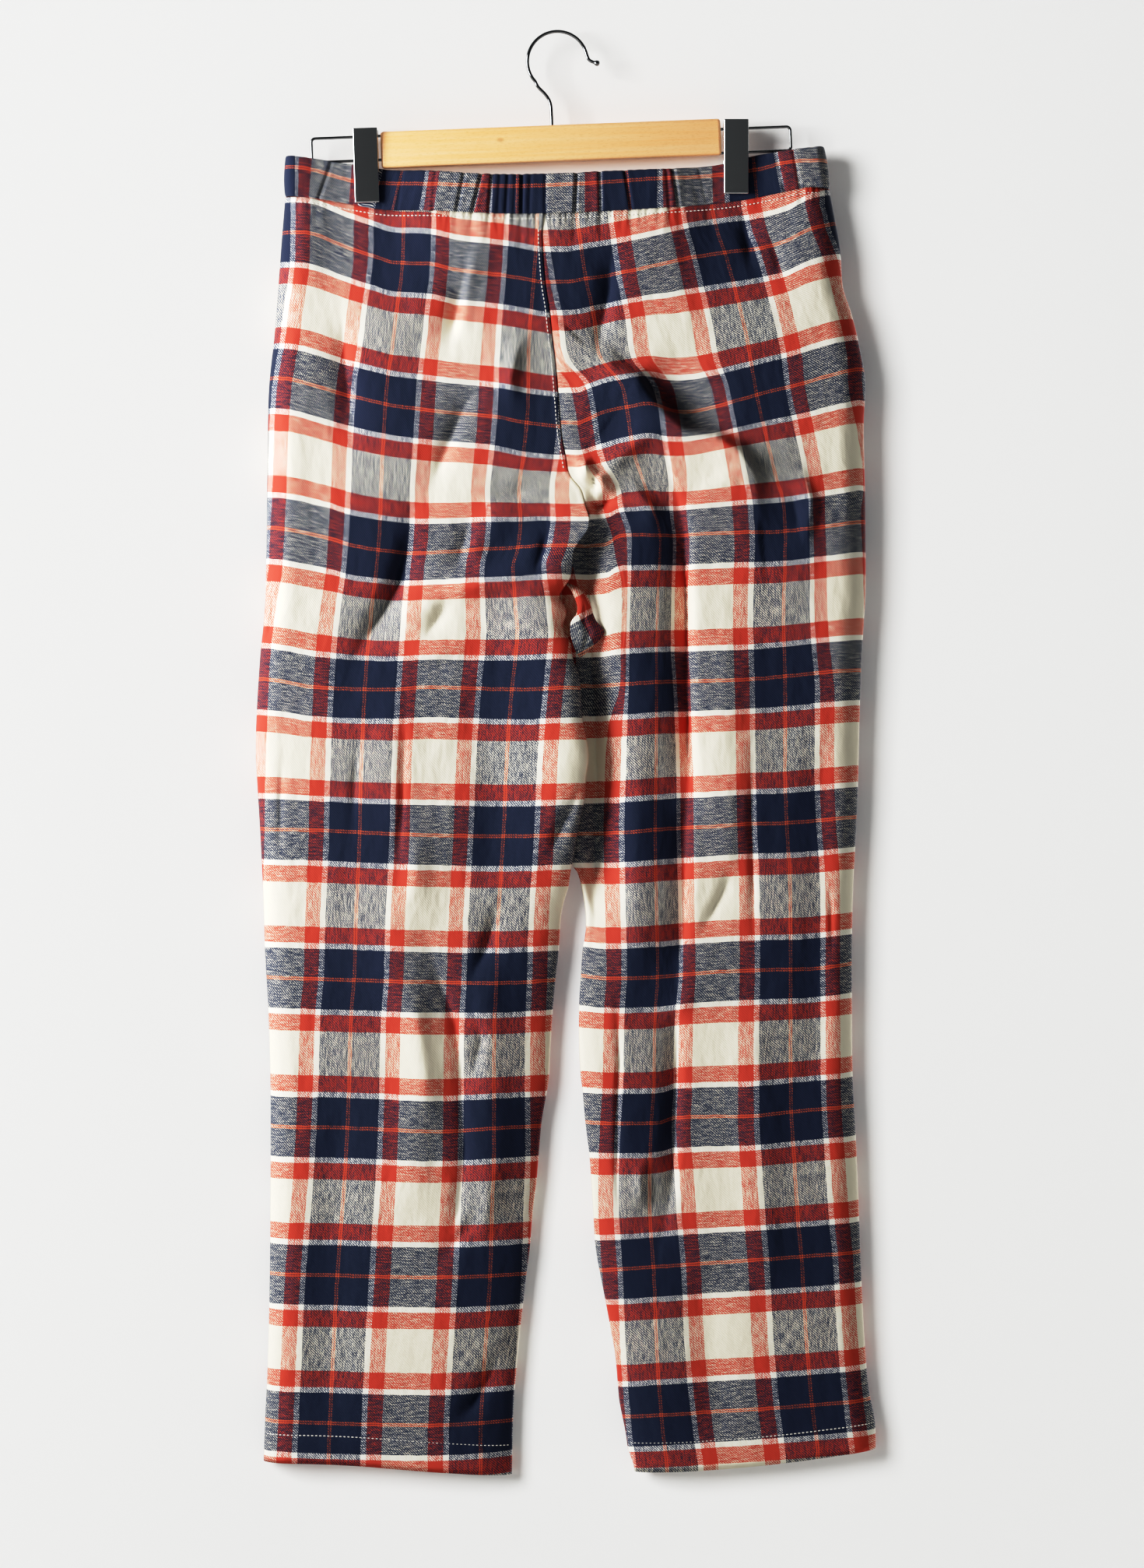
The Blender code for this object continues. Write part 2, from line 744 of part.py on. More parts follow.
def wire_loop(name, side, frame, chrome):
    """U of wire that a clip slides on: both ends sit in the bar's end."""
    start = BAR_SIZE[0] / 2 - LOOP_DEPTH_IN_BAR
    far = BAR_SIZE[0] / 2 + side["reach"] - LOOP_CORNER
    corner = LOOP_HALF_GAP - LOOP_CORNER
    outline = [(start, 0.0, LOOP_HALF_GAP)]
    outline += arc((far, corner), LOOP_CORNER, 90.0, 0.0, 4)
    outline += arc((far, -corner), LOOP_CORNER, 0.0, -90.0, 4)
    outline.append((start, 0.0, -LOOP_HALF_GAP))
    points = [(side["sign"] * x, y, z + side["rise"]) for x, y, z in outline]
    return wire(f"wire_loop_{name}", points, WIRE_RADIUS, chrome, frame)


def clip_leaf(name, side, face, chrome):
    """Sheet-metal leaf of a trouser clip: a flat web with a lip bent in along each side."""
    half = CLIP_WIDTH / 2
    depth = CLIP_SHEET + CLIP_LIP
    profile = [
        (-half, depth),
        (half, depth),
        (half, 0.0),
        (half - CLIP_SHEET, 0.0),
        (half - CLIP_SHEET, CLIP_LIP),
        (-half + CLIP_SHEET, CLIP_LIP),
        (-half + CLIP_SHEET, 0.0),
        (-half, 0.0),
    ]
    bm = bmesh.new()
    corners = [bm.verts.new(Vector((x, face * y, 0.0)) * MM) for x, y in profile]
    base = bm.faces.new(corners)
    grown = bmesh.ops.extrude_face_region(bm, geom=[base], use_keep_orig=True)
    raised = [item for item in grown["geom"] if isinstance(item, bmesh.types.BMVert)]
    bmesh.ops.translate(bm, verts=raised, vec=(0.0, 0.0, CLIP_HEIGHT * MM))
    leaf = mesh_object(name, bm, chrome)
    tilt = math.radians(side["tilt"])
    lean = math.radians(-face * CLIP_LEAN)
    jaw = CLIP_HALF_DEPTH + SEAM_GAP
    below = CLIP_HEIGHT / 2
    leaf.location = Vector(
        (side["clip_x"] - math.sin(tilt) * below, face * jaw, side["clip_z"] - math.cos(tilt) * below)
    ) * MM
    leaf.rotation_euler = (lean, tilt, 0.0)
    return leaf


def clip_block(name, side, frame, chrome):
    """Block between a clip's leaves that holds them and slides between the loop's two wires."""
    room = 2 * (LOOP_HALF_GAP - WIRE_RADIUS - SEAM_GAP)
    web = CLIP_HALF_DEPTH + SEAM_GAP + CLIP_LIP
    lean = math.tan(math.radians(CLIP_LEAN)) * (CLIP_HEIGHT / 2)
    size = (CLIP_WIDTH - 2 * CLIP_SHEET - 2.0, 2 * (web + lean - SEAM_GAP), room)
    bm = bmesh.new()
    bmesh.ops.create_cube(bm, size=1.0)
    bmesh.ops.scale(bm, verts=bm.verts, vec=Vector(size) * MM)
    block = mesh_object(name, bm, chrome, frame)
    block.location = Vector((side["clip_x"] - BAR_CENTRE[0], 0.0, side["rise"])) * MM
    return block


def build():
    clear_scene()
    cloth = material("Brushed cotton flannel", (0.36, 0.20, 0.22), 0.9)
    wood = material("Lacquered beech", (0.78, 0.55, 0.30), 0.4)
    chrome = material("Chrome-plated steel", (0.55, 0.55, 0.56), 0.12, 1.0)

    waistband(cloth)
    for side in SIDES:
        for face, word in ((BACK, "back"), (FRONT, "front")):
            leg_panel(f"{word}_{side}_leg", side, face, cloth)

    frame = bar_frame()
    hanger_bar(frame, wood)
    hook(chrome)
    for name, side in SIDES.items():
        wire_loop(name, side, frame, chrome)
        clip_block(f"clip_{name}_block", side, frame, chrome)
        for face, word in ((BACK, "near"), (FRONT, "far")):
            clip_leaf(f"clip_{name}_{word}_leaf", side, face, chrome)


build()
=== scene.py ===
"""Flannel pyjama trousers clipped by the waistband to a wooden bar hanger: the dressed model.

-Y is the near face, which is the trousers' back. Tables and named sizes are in millimetres where no comment
says metres, named angles are in degrees, and a mesh is turned to metres as it is placed.
"""

import math

import bmesh
import bpy
import numpy as np
from mathutils import Matrix, Vector


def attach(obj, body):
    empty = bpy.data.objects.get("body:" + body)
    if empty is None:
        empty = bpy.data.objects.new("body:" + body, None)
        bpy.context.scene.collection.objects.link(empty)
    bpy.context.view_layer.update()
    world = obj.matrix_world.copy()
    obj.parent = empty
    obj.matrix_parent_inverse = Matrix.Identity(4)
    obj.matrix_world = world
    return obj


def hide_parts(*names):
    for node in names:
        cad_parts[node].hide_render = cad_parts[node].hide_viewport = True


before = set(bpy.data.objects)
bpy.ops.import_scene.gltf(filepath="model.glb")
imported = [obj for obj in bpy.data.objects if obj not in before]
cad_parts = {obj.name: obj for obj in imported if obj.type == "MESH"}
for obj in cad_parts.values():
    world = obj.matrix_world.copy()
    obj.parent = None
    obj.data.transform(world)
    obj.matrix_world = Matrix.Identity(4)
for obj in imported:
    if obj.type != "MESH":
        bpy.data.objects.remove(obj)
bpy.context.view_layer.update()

MM = 0.001
BACK, FRONT = -1, 1  # the two faces of the trousers, as the sign of Y
FACE_WORDS = {BACK: "back", FRONT: "front"}
CLIP_WORDS = {BACK: "near", FRONT: "far"}

# Cloth
CLOTH = 1.3  # brushed flannel
HEM_HEIGHT = 23.0
HEM_FOLD_GAP = 2.0  # between the leg and the turned-up hem inside it
BAND_THICK = 3.0  # casing with its elastic
SEAM_GAP = 0.3
SEAM_TUCK = 2.0  # how far a leg's top edge runs up behind the waistband
EDGE_RADIUS = 32.0  # how far each inner edge's curve reaches into its panel
OUTER_RADIUS = 21.0  # the same at the outseams, where the cloth folds more sharply
EDGE_LEAN = 6.0  # how far back each outseam hangs
CENTRE_TOP = -400.0  # from here down to the crotch each leg closes at its inner edge
CROTCH = -455.0
SEAM_LEVEL = -134.0  # mean height of the waistband's seam
HEM_LEVEL = -1104.0  # mean height of the hems
ROW_SPREAD = 0.75  # spacing of a panel's rows at its top, as a share of their mean spacing
SEAM_FADE = 260.0  # how far down the rows follow the waistband's seam
HEM_FADE = 300.0  # how far up they follow the hem
SEAM_SOFT = 3.0  # over how far down the top edge bends in behind the waistband
CREASE_START = 0.25  # of an inner edge's curve, over which creases die out
PANEL_WIDTH = 200.0  # about, at the centre seam
FAR_HEM_DROP = 3.0  # how much lower the left leg's far hem hangs
SETT = 114.0  # one repeat of the plaid
WHITE_AT, RED_ENDS = 25.85 / SETT, 39.5 / SETT  # from an orange line, in repeats

# Plaid and panels
FRONT_OFFSET = 0.37  # of the front's plaid against the back's, in repeats
PITCH_KEPT = 0.35  # beyond the charted orange lines: the share of their spacing in the plaid's, beside the sett
COLUMN_EVEN = 0.6  # how evenly a panel's columns are spaced: 1 is evenly
ROW_BEND = 1.5  # the power by which its rows part from the waistband's and the hem's
EDGE_SHARE = 0.2  # of a panel's width at each edge, over which its folds die out
FOLD_END = 0.3  # of a fold's length, over which each end dies out

# Relief beside the seams: depth or height, then width
FAR_GROOVE = (0.7, 1.6)
NEAR_GROOVE = (0.45, 0.9)
SEAM_SINK = (0.2, 4.0)  # of the right leg's cloth beside the centre seam
ALLOWANCE = (0.3, 4.6)  # of the seam, turned under the left leg
ALLOWANCE_EDGE = 1.6
SEAM_END = 20.0  # how far above the parting it is at its full depth
HEM_PROUD = 0.45
HEM_EDGE = 2.0
HEM_GROOVE = (0.4, 1.1)
HEM_CURL = 1 / 6  # of the turned-up part's height, over which it comes to its full gap

# Gathers of the waistband, for a crease that is 1 deep: how far it goes in and the cloth beside it stands out
GATHER_IN = (1.15, 1.4)  # depth, width
GATHER_OUT = (0.35, 4.6)
GATHER_RUFFLE = (0.35, 2.5)  # at the top edge
GATHER_FROM, GATHER_FULL = 0.6, 1.8  # creases that are shallower hardly show, and deeper ones show in full
FAR_GATHERS_OFFSET = 1.5
BAND_HEIGHT = 32.0
BAND_CROWN = 0.9
BAND_ROLL = (0.5, 0.07)  # at its seam: depth in millimetres, and width as a share of its height
BAND_HELD = 0.85  # of its relief, pressed flat in a clip
# Where they run on into a leg
LEAN_KEPT = 0.35  # of a crease's lean
GATHER_REACH = (9.0, 15.0)  # how far down: at least, and more for each millimetre of depth
GATHER_SPREAD = (2.2, 0.05)  # width at the seam, and how much wider for each millimetre down
RIPPLE = (0.4, 4.3, 12.0)  # height, length and reach of the puckers between them
RIPPLE_WANDER = (1.7, 17.0)

# Stitching
STITCH_LENGTH = 2.3
STITCH_PITCH = 3.1
THREAD_RADIUS = 0.42
THREAD_OUT = 0.24  # how far a stitch's middle stands off the cloth
STITCH_COLUMNS = (0.02, 0.98, 120)  # first and last place across a panel, and points between them
HEM_STITCHES_IN = 0.8  # below the turned-up hem's top edge
WAIST_STITCHES_BELOW = 3.6  # the waistband's seam
CENTRE_STITCHES = (-146.0, -336.0)  # upper and lower end
CENTRE_STITCHES_IN = 3.0  # from the centre seam into the left leg

# Hanger
BAR_SIZE = (262.0, 12.0, 28.0)
BAR_CENTRE = (-5.0, 0.0, -85.4)
BAR_TILT = 2.23
BAR_ARRIS = 2.4  # radius of its rounded edges
WIRE_RADIUS = 1.1
HOOK_WIRE_RADIUS = 1.3
HOOK_RADIUS = 23.1
HOOK_BOW = (222.0, 18.0)  # where its round part starts and ends
HOOK_SHANK_X = -4.4
HOOK_SHANK = (  # x from the shank's middle, z
    (0.0, -86.0), (0.0, -70.0), (-0.4, -60.0), (-1.0, -54.5), (-2.6, -50.6), (-5.2, -47.0), (-10.6, -41.4),
)
HOOK_TIP = ((22.9, -17.6), (24.2, -20.4), (26.6, -22.0), (28.4, -22.6))  # x, z
HOOK_BEAD = (  # x, radius
    (28.7, 1.5), (29.1, 1.9), (29.8, 2.2), (30.7, 2.3), (31.5, 2.1), (32.1, 1.6), (32.4, 0.9), (32.5, 0.1),
)
BEAD_SLOPE = 0.25
LOOP_DEPTH_IN_BAR = 12.0
LOOP_HALF_GAP = 9.2
LOOP_CORNER = 3.0
CLIP_WIDTH = 19.0
CLIP_HEIGHT = 57.4
CLIP_SHEET = 1.0
CLIP_BEND = 0.8  # radius at the sheet's bends
CLIP_DEPTH = 3.6
CLIP_LEAN = 3.0
CLIP_HALF_DEPTH = 3.3  # half the cloth's thickness between the leaves
PINCH_FLAT = 12.0  # how far to each side a clip holds the cloth flat
PINCH_REACH = 48.0  # how far beyond that its hold fades, to each side and then down
PINCH_DROP = 110.0

# Each side of the hanger: the sign of X, how far its loop stands out of the bar and above the bar's middle, and
# its clip's middle and tilt.
SIDES = {
    "left": {"sign": -1, "reach": 53.5, "rise": 2.0, "clip_x": -147.3, "clip_z": -102.5, "tilt": -1.8},
    "right": {"sign": 1, "reach": 53.8, "rise": -3.0, "clip_x": 137.6, "clip_z": -95.7, "tilt": 0.0},
}

# Plaid: half a repeat from the middle of the navy outwards, as the distance at which each colour ends.
WARP_STRIPES = (
    # end, colour
    (0.4, "#66323A"),
    (1.3, "#C65C3C"),
    (23.8, "#242C42"),
    (27.9, "#F4F1E8"),
    (39.5, "#C24A3C"),
    (57.0, "#EAE3CF"),
)
WEFT_STRIPES = (
    (0.4, "#66323A"),
    (1.3, "#C65C3C"),
    (23.0, "#242C42"),
    (27.2, "#F4F1E8"),
    (40.0, "#C24A3C"),
    (57.0, "#EAE3CF"),
)
WANDER = (9.0, 1.2)  # of the yarns: from one turn to the next, and how far
NAP = 0.9  # from one tuft of raised fibre to the next
NAP_RELIEF = 0.12
NAP_BLOOM = (0.03, -0.005)
DRAPE = (13.0, 30.0, 1.6)  # soft small puckers: width, length and height
TWILL_RELIEF = 0.3
TWILL_PITCH = 1.9  # across the cloth, four yarns: a fifth coarser than real, so that it shows
TWILL_CONTRAST = 0.4
WARP_SHARE = 0.40
DARK_COVER = 0.125  # how much more than its share a dark yarn covers beside a pale one
MIXED_AS = 4.0  # the power by which two yarns mix: the dark one of a heather counts for more
WARP_STREAK = (1.1, 8.0, 1.0)  # a slub's width and length
WEFT_STREAK = (8.0, 1.1, 1.0)
STREAK_CONTRAST = 1.3
FLECK = 1.0  # where the nap hides one set of yarns or the other
FLECK_CONTRAST = 1.5

# Beech, plate and thread: the size of each mark along, through and up
GROWTH_BAND = (142.86, 8.333, 3.333)
RAY_FLECK = (2.857, 1.111, 0.4545)
WIRE_SCRATCH = (1.111, 1.111, 16.67)
SHEET_SCRATCH = (0.625, 0.625, 11.11)
PLATE_CLOUD = 9.091
THREAD_TWIST = 0.4
KNOT = (-44.0, 0.0, -83.1)  # its middle, in the bar
KNOT_EDGE, KNOT_HEART = 2.2, 0.8

# Studio
PLANES = {
    # name: size, place and turn in metres and radians, colour, how much it glows
    "wall": ((6.0, 6.0), (0.0, 0.0212, -0.6), (math.pi / 2 - 0.0114, 0.0, 0.0), "#FBFBF9", 0.08),
    "floor": ((8.0, 8.0), (0.0, 0.0, -1.32), (0.0, 0.0, 0.0), "#DADAD7", 0.1),
}
LIGHTS = {
    # name: place in metres, watts, width and height in metres, and whether the planes alone are lit or left out
    "window_light": ((-1.2, -0.63, -0.07), 43.0, (0.6, 0.9), "EXCLUDE"),
    "wall_light": ((-2.3, -2.85, 0.25), 200.0, (1.6, 1.5), "INCLUDE"),
    "rear_light": ((1.4, 3.0, 0.6), 60.0, (2.0, 2.0), None),
}
AIM = (0.0, 0.0, -0.58)  # the middle of the trousers, in metres
# Painted shade on the paint of the wall and floor: darker towards the lower left, paler towards the upper right.
WALL_SLANT = 0.25  # how much its painted shade follows the height beside the width
WALL_SHADE_GRADE = (-0.35, 0.45)  # where along that slant its painted shade starts and stops to change, in metres
WALL_SHADE_TONES = (0.78, 0.9)
ROOM = (
    # axis of the direction, where the room is dimmest, where it is full, and the share left at its dimmest
    ("Y", -0.96, -0.6, 0.8),
    ("Z", 0.8, 0.3, 0.0),
    ("X", 0.7, -0.5, 0.5),
)
ROOM_LIGHT = 0.28
# Tone curve of the render: light, as a share of the brightest that it holds, and tone.
LIGHT_HELD = 2.0
TONES = (
    (0.0, 0.0), (0.0125, 0.007), (0.025, 0.018), (0.05, 0.045), (0.1, 0.125), (0.15, 0.22), (0.2, 0.33),
    (0.25, 0.44), (0.3, 0.54), (0.35, 0.625), (0.4, 0.69), (0.45, 0.74), (0.5, 0.78), (0.575, 0.83),
    (0.65, 0.87), (0.8, 0.93), (1.0, 1.0),
)

# Camera
CAMERA_REACH = 4000.0
FRAME_HEIGHT = 1208.4
FRAME_CENTRE = (11.2, -578.7)

# Waistband: place across, height of its top edge and of its seam.
BAND = (
    # x, top, seam
    (-210.5, -94.5, -126.3), (-188, -97.2, -128), (-165, -100.6, -131.6), (-147, -102.6, -134.8),
    (-131, -105.6, -137), (-98, -106.6, -137.8), (-52, -109.2, -139.9), (-5.6, -108.9, -140.1),
    (36.4, -107.1, -138.3), (78.4, -105.3, -135.9), (120.4, -102.4, -132.3), (148, -95.6, -128.4),
    (176, -90.9, -123.1), (193.6, -88.8, -119.9), (209, -87.2, -120.2),
)

# Hems: place across and height.
HEMS = (
    # x, z
    (-227, -1100.1), (-163, -1101.9), (-93.8, -1107.3), (-35, -1110.6), (58.6, -1107.9), (109, -1106.1),
    (170.2, -1100.7), (244.6, -1090.5),
)

# Outseam of each leg by height.
OUTSEAM = {
    "left": (
        # z, x
        (-126, -210.2), (-155, -212.6), (-195, -215.6), (-231, -218.4), (-274, -222.8),
        (-337, -224), (-430, -225.4), (-455, -227), (-478, -229.4), (-526, -232.4),
        (-556, -233), (-575, -232), (-622, -229.2), (-670, -227), (-706, -226),
        (-755, -223.2), (-814, -221.6), (-875, -221.6), (-958, -222.2), (-1024, -223.7),
        (-1070, -225.8), (-1112, -227.2),
    ),
    "right": (
        (-120, 209.8), (-142, 214), (-166, 218.2), (-195, 220.4), (-215, 226.8),
        (-240, 233), (-266, 237.4), (-304, 236.4), (-363, 237.6), (-430, 237.8),
        (-455, 236.4), (-478, 235), (-526, 233.2), (-590, 231.6), (-670, 227.8),
        (-730, 227.2), (-802, 227.8), (-862, 230.8), (-934, 233.6), (-982, 235.6),
        (-1042, 239.8), (-1072, 245.2), (-1112, 245),
    ),
}

# Half the thickness that the trousers hang at, by height.
HANG = (
    # z, half_depth
    (-86, 9), (-134, 10.5), (-200, 14), (-300, 16), (-400, 14.5), (-500, 12.5), (-700, 11), (-950, 11),
    (-1112, 12.5),
)

# Large folds: upper end, lower end, width to each side, and height out (+) or in (-).
FOLDS = {
    ("left", BACK): (
        # x_top, z_top, x_end, z_end, width, height
        (-36, -362, -66, -404, 15, 3),
        (-100, -440, -92, -482, 24, 4),
        (-205, -300, -212, -470, 13, 3),
        (-125, -512, -124, -756, 20, 4),
        (-60, -500, -48, -650, 18, -3),
        (-56, -720, -48, -900, 15, 3.5),
        (-108, -740, -112, -900, 16, 3),
        (-170, -820, -176, -1060, 18, -3),
    ),
    ("right", BACK): (
        (70, -270, 130, -300, 15, -4),
        (34, -336, 78, -308, 14, 3.5),
        (130, -470, 132, -640, 18, 3.5),
        (34, -486, 36, -668, 17, -6.5),
        (60, -560, 62, -720, 14, 3),
        (150, -760, 158, -960, 18, 3.5),
        (205, -560, 200, -800, 16, -3),
        (112, -960, 122, -1080, 16, -3),
    ),
    ("left", FRONT): (
        (-60, -190, -66, -300, 17, -3.5),
        (-20, -300, -90, -352, 16, 4),
        (-24, -372, -120, -410, 16, -3.5),
        (-140, -220, -150, -420, 20, 3.5),
        (-100, -500, -104, -760, 20, -4.5),
        (-150, -560, -150, -840, 20, 3.5),
        (-58, -640, -64, -880, 16, 3.5),
        (-120, -860, -128, -1070, 18, -4),
        (-185, -700, -186, -980, 16, -3),
    ),
    ("right", FRONT): (
        (70, -190, 78, -300, 17, -3.5),
        (34, -300, 104, -356, 16, 4),
        (36, -372, 130, -414, 16, -3.5),
        (160, -220, 170, -420, 20, 3),
        (110, -500, 108, -760, 20, -4.5),
        (160, -540, 160, -820, 20, 3.5),
        (64, -660, 72, -880, 16, 3.5),
        (140, -860, 150, -1066, 18, -4),
        (200, -700, 204, -960, 16, -3),
    ),
}

# Orange lines of the weft, which cross each leg, from the top one down: x, z. Then those of the warp, the outer
# one first: z, x.
WEFT_LINES = {
    "left": (
        ((-212.6, -153.9), (-188, -155.7), (-159.8, -166.5), (-143, -171.9), (-126.2, -177.3), (-98, -179.1),
         (-75.8, -183.9), (-36.8, -188.7), (-5.6, -194.7)),
        ((-221.6, -266.1), (-201.8, -268.5), (-176.6, -275.7), (-154.4, -281.7), (-131.6, -287.1), (-104, -291.3),
         (-87.2, -293.1), (-47.6, -296.7), (-25.4, -300.9), (2.2, -303.9)),
        ((-223.4, -381.3), (-204.8, -383.7), (-176.6, -389.7), (-154.4, -396.3), (-114.8, -401.1), (-87.2, -400.5),
         (-64.4, -398.7), (-36.8, -397.5), (-14, -395.7)),
        ((-229.4, -497.7), (-210.2, -500.1), (-188, -504.3), (-131.6, -506.1), (-98, -504.3), (-30.8, -506.1),
         (2.8, -504.9)),
        ((-229.4, -613.5), (-188, -614.1), (-151.4, -615.9), (-109.4, -617.7), (-42.2, -618.9), (13.6, -617.7)),
        ((-224.6, -727.5), (-156.8, -729.3), (-87.2, -731.1), (-47.6, -731.7), (-3.2, -729.9)),
        ((-221.6, -842.1), (-159.8, -843.3), (-87.2, -845.7), (-47.6, -843.3), (-12.2, -842.1)),
        ((-221.6, -955.5), (-188, -956.1), (-87.2, -957.9), (-24.2, -956.1)),
        ((-225.8, -1068.3), (-146, -1070.7), (-87.2, -1071.3), (-35, -1068.9)),
    ),
    "right": (
        ((8.2, -192.9), (36.4, -188.1), (58.6, -183.9), (80.8, -179.1), (103.6, -173.7), (131.2, -169.5),
         (154, -166.5), (176.2, -161.1), (193, -152.7), (215.2, -146.7)),
        ((16.6, -300.3), (36.4, -292.5), (55.6, -288.9), (70, -287.1), (86.8, -291.3), (103.6, -291.9),
         (120.4, -288.9), (142.6, -282.9), (164.8, -276.9), (187.6, -271.5), (209.8, -264.9), (232, -259.5)),
        ((27.4, -395.1), (38.8, -393.9), (44.8, -389.1), (52, -387.3), (92.2, -387.3), (137.2, -385.5),
         (170.8, -384.9), (204.4, -381.3), (232, -377.1)),
        ((30.4, -503.1), (53.2, -501.9), (80.8, -500.1), (114.4, -499.5), (148, -498.3), (176.2, -495.9),
         (204.4, -492.9), (232, -491.1)),
        ((25, -617.1), (53.2, -615.9), (80.8, -613.5), (114.4, -611.7), (148, -609.3), (176.2, -608.7),
         (230.8, -603.9)),
        ((19.6, -726.3), (36.4, -728.1), (80.8, -726.9), (103.6, -724.5), (131.2, -722.7), (164.8, -721.5),
         (193, -720.9), (226.6, -717.3)),
        ((22, -839.1), (53.2, -839.7), (78.4, -839.1), (92.2, -835.5), (117.4, -834.3), (148, -833.7),
         (198.4, -828.9), (229, -826.5)),
        ((32.2, -953.1), (53.2, -951.3), (103.6, -947.7), (164.8, -943.5), (233.8, -938.7)),
        ((50.2, -1065.9), (72.4, -1064.1), (103.6, -1062.3), (176.2, -1057.5), (242.2, -1052.1)),
    ),
}
WARP_LINES = {
    "left": (
        ((-140.1, -118.4), (-176.1, -119), (-194.7, -120.8), (-216.9, -123.8), (-239.1, -126.2), (-267.3, -130.4),
         (-289.5, -132.2), (-320.7, -134), (-345.9, -135.2), (-379.5, -136.4), (-411.3, -138.8), (-450.3, -143.6),
         (-492.3, -147.2), (-551.1, -150.2), (-584.7, -151.4), (-618.3, -152), (-685.5, -155), (-727.5, -156.2),
         (-756.3, -158.6), (-815.1, -160.4), (-876.9, -163.4), (-932.7, -167.6), (-957.9, -169.4), (-989.1, -171.2),
         (-1039.5, -173.6), (-1095.3, -176)),
        ((-149.7, -15.8), (-191.7, -18.2), (-228.3, -21.2), (-255.9, -22.4), (-278.7, -22.4), (-302.1, -23.6),
         (-326.1, -26.6), (-351.3, -29.6), (-376.5, -28.4), (-397.5, -30.2), (-411.3, -33.8), (-444.9, -32),
         (-464.7, -30.8), (-506.7, -35), (-551.1, -38.6), (-618.3, -41.6), (-685.5, -45.8), (-730.5, -47),
         (-756.3, -48.2), (-784.5, -48.8), (-868.5, -48.8), (-899.1, -50), (-956.7, -51.8), (-1011.3, -55.4),
         (-1070.1, -59), (-1095.3, -59)),
    ),
    "right": (
        ((-142.5, 14.8), (-163.5, 17.8), (-191.1, 22), (-219.3, 28), (-244.5, 31), (-254.7, 34.6), (-271.5, 48.4),
         (-290.1, 53.2), (-311.7, 56.8), (-336.9, 62.8), (-360.3, 71.2), (-380.7, 78.4), (-394.5, 79.6),
         (-426.3, 77.8), (-471.9, 76.6), (-501.9, 76.6), (-573.3, 76), (-615.9, 75.4), (-685.5, 76.6),
         (-727.5, 77.2), (-756.3, 75.4), (-815.1, 74.2), (-840.3, 72.4), (-876.9, 71.2), (-910.5, 71.2),
         (-955.5, 74.2), (-1016.7, 76.6), (-1073.1, 80.8), (-1103.7, 84.4)),
        ((-134.1, 118.6), (-152.7, 122.8), (-169.5, 128.8), (-188.7, 134.2), (-205.5, 138.4), (-228.3, 143.8),
         (-250.5, 148), (-275.7, 152.2), (-295.5, 156.4), (-320.7, 162.4), (-342.9, 167.8), (-359.7, 173.2),
         (-384.9, 175.6), (-411.3, 175), (-450.3, 173.8), (-498.3, 175), (-573.9, 175), (-608.7, 176.2),
         (-646.5, 178.6), (-685.5, 179.2), (-752.7, 179.2), (-784.5, 179.2), (-829.5, 179.8), (-860.1, 181.6),
         (-915.9, 185.2), (-941.1, 187.6), (-1011.3, 191.8), (-1057.5, 196), (-1089.9, 200.2)),
    ),
}

# Where folds take plaid from view on the right leg: height, then the distance from the outer orange line to the
# middle of the white line and to the far edge of the red, outwards (towards the other leg) and inwards, and the
# scale beyond the inner orange line.
WARP_SQUEEZE = (
    # z, white and red towards the other leg, white and red towards the side, scale beyond
    (-300, 25.8, 39.5, 25.8, 39.5, 1),
    (-340, 25.8, 39.5, 22.6, 35.5, 0.95),
    (-365, 25, 39.5, 14, 26, 0.84),
    (-380, 24.5, 38.5, 10.2, 21.6, 0.83),
    (-405, 24, 34, 10.4, 22, 0.85),
    (-425, 23.2, 28, 10.8, 22.6, 0.87),
    (-480, 23.2, 27.6, 11.8, 24.4, 0.94),
    (-505, 23.6, 28.5, 13.6, 25.5, 1),
    (-535, 24.5, 37, 15.4, 26.8, 1),
    (-600, 25.8, 39.5, 17.5, 29, 1),
    (-700, 25.8, 39.5, 18, 28.8, 1),
    (-760, 25.8, 39.5, 16.4, 28.8, 1),
    (-840, 25.8, 39.5, 17, 29.8, 1),
    (-900, 25.8, 39.5, 22, 35, 1),
    (-1020, 25.8, 39.5, 23.4, 36.8, 1),
    (-1100, 25.8, 39.5, 25.8, 39.5, 1),
)

# Small shifts of the plaid: middle, reach across and down, then how far it moves across and up.
PULLS = {
    "left": (
        # x, z, reach_x, reach_z, across, up
        (-10, -330, 50, 18, 0, -4),
        (-4, -405, 16, 22, -2.5, 0),
    ),
    "right": (
        (45, -321, 55, 22, 0, -4),
        (60, -364, 26, 14, 0, -2.5),
        (36, -349, 21, 14, 6, 0),
        (197, -385, 24, 30, -1, 0),
    ),
}

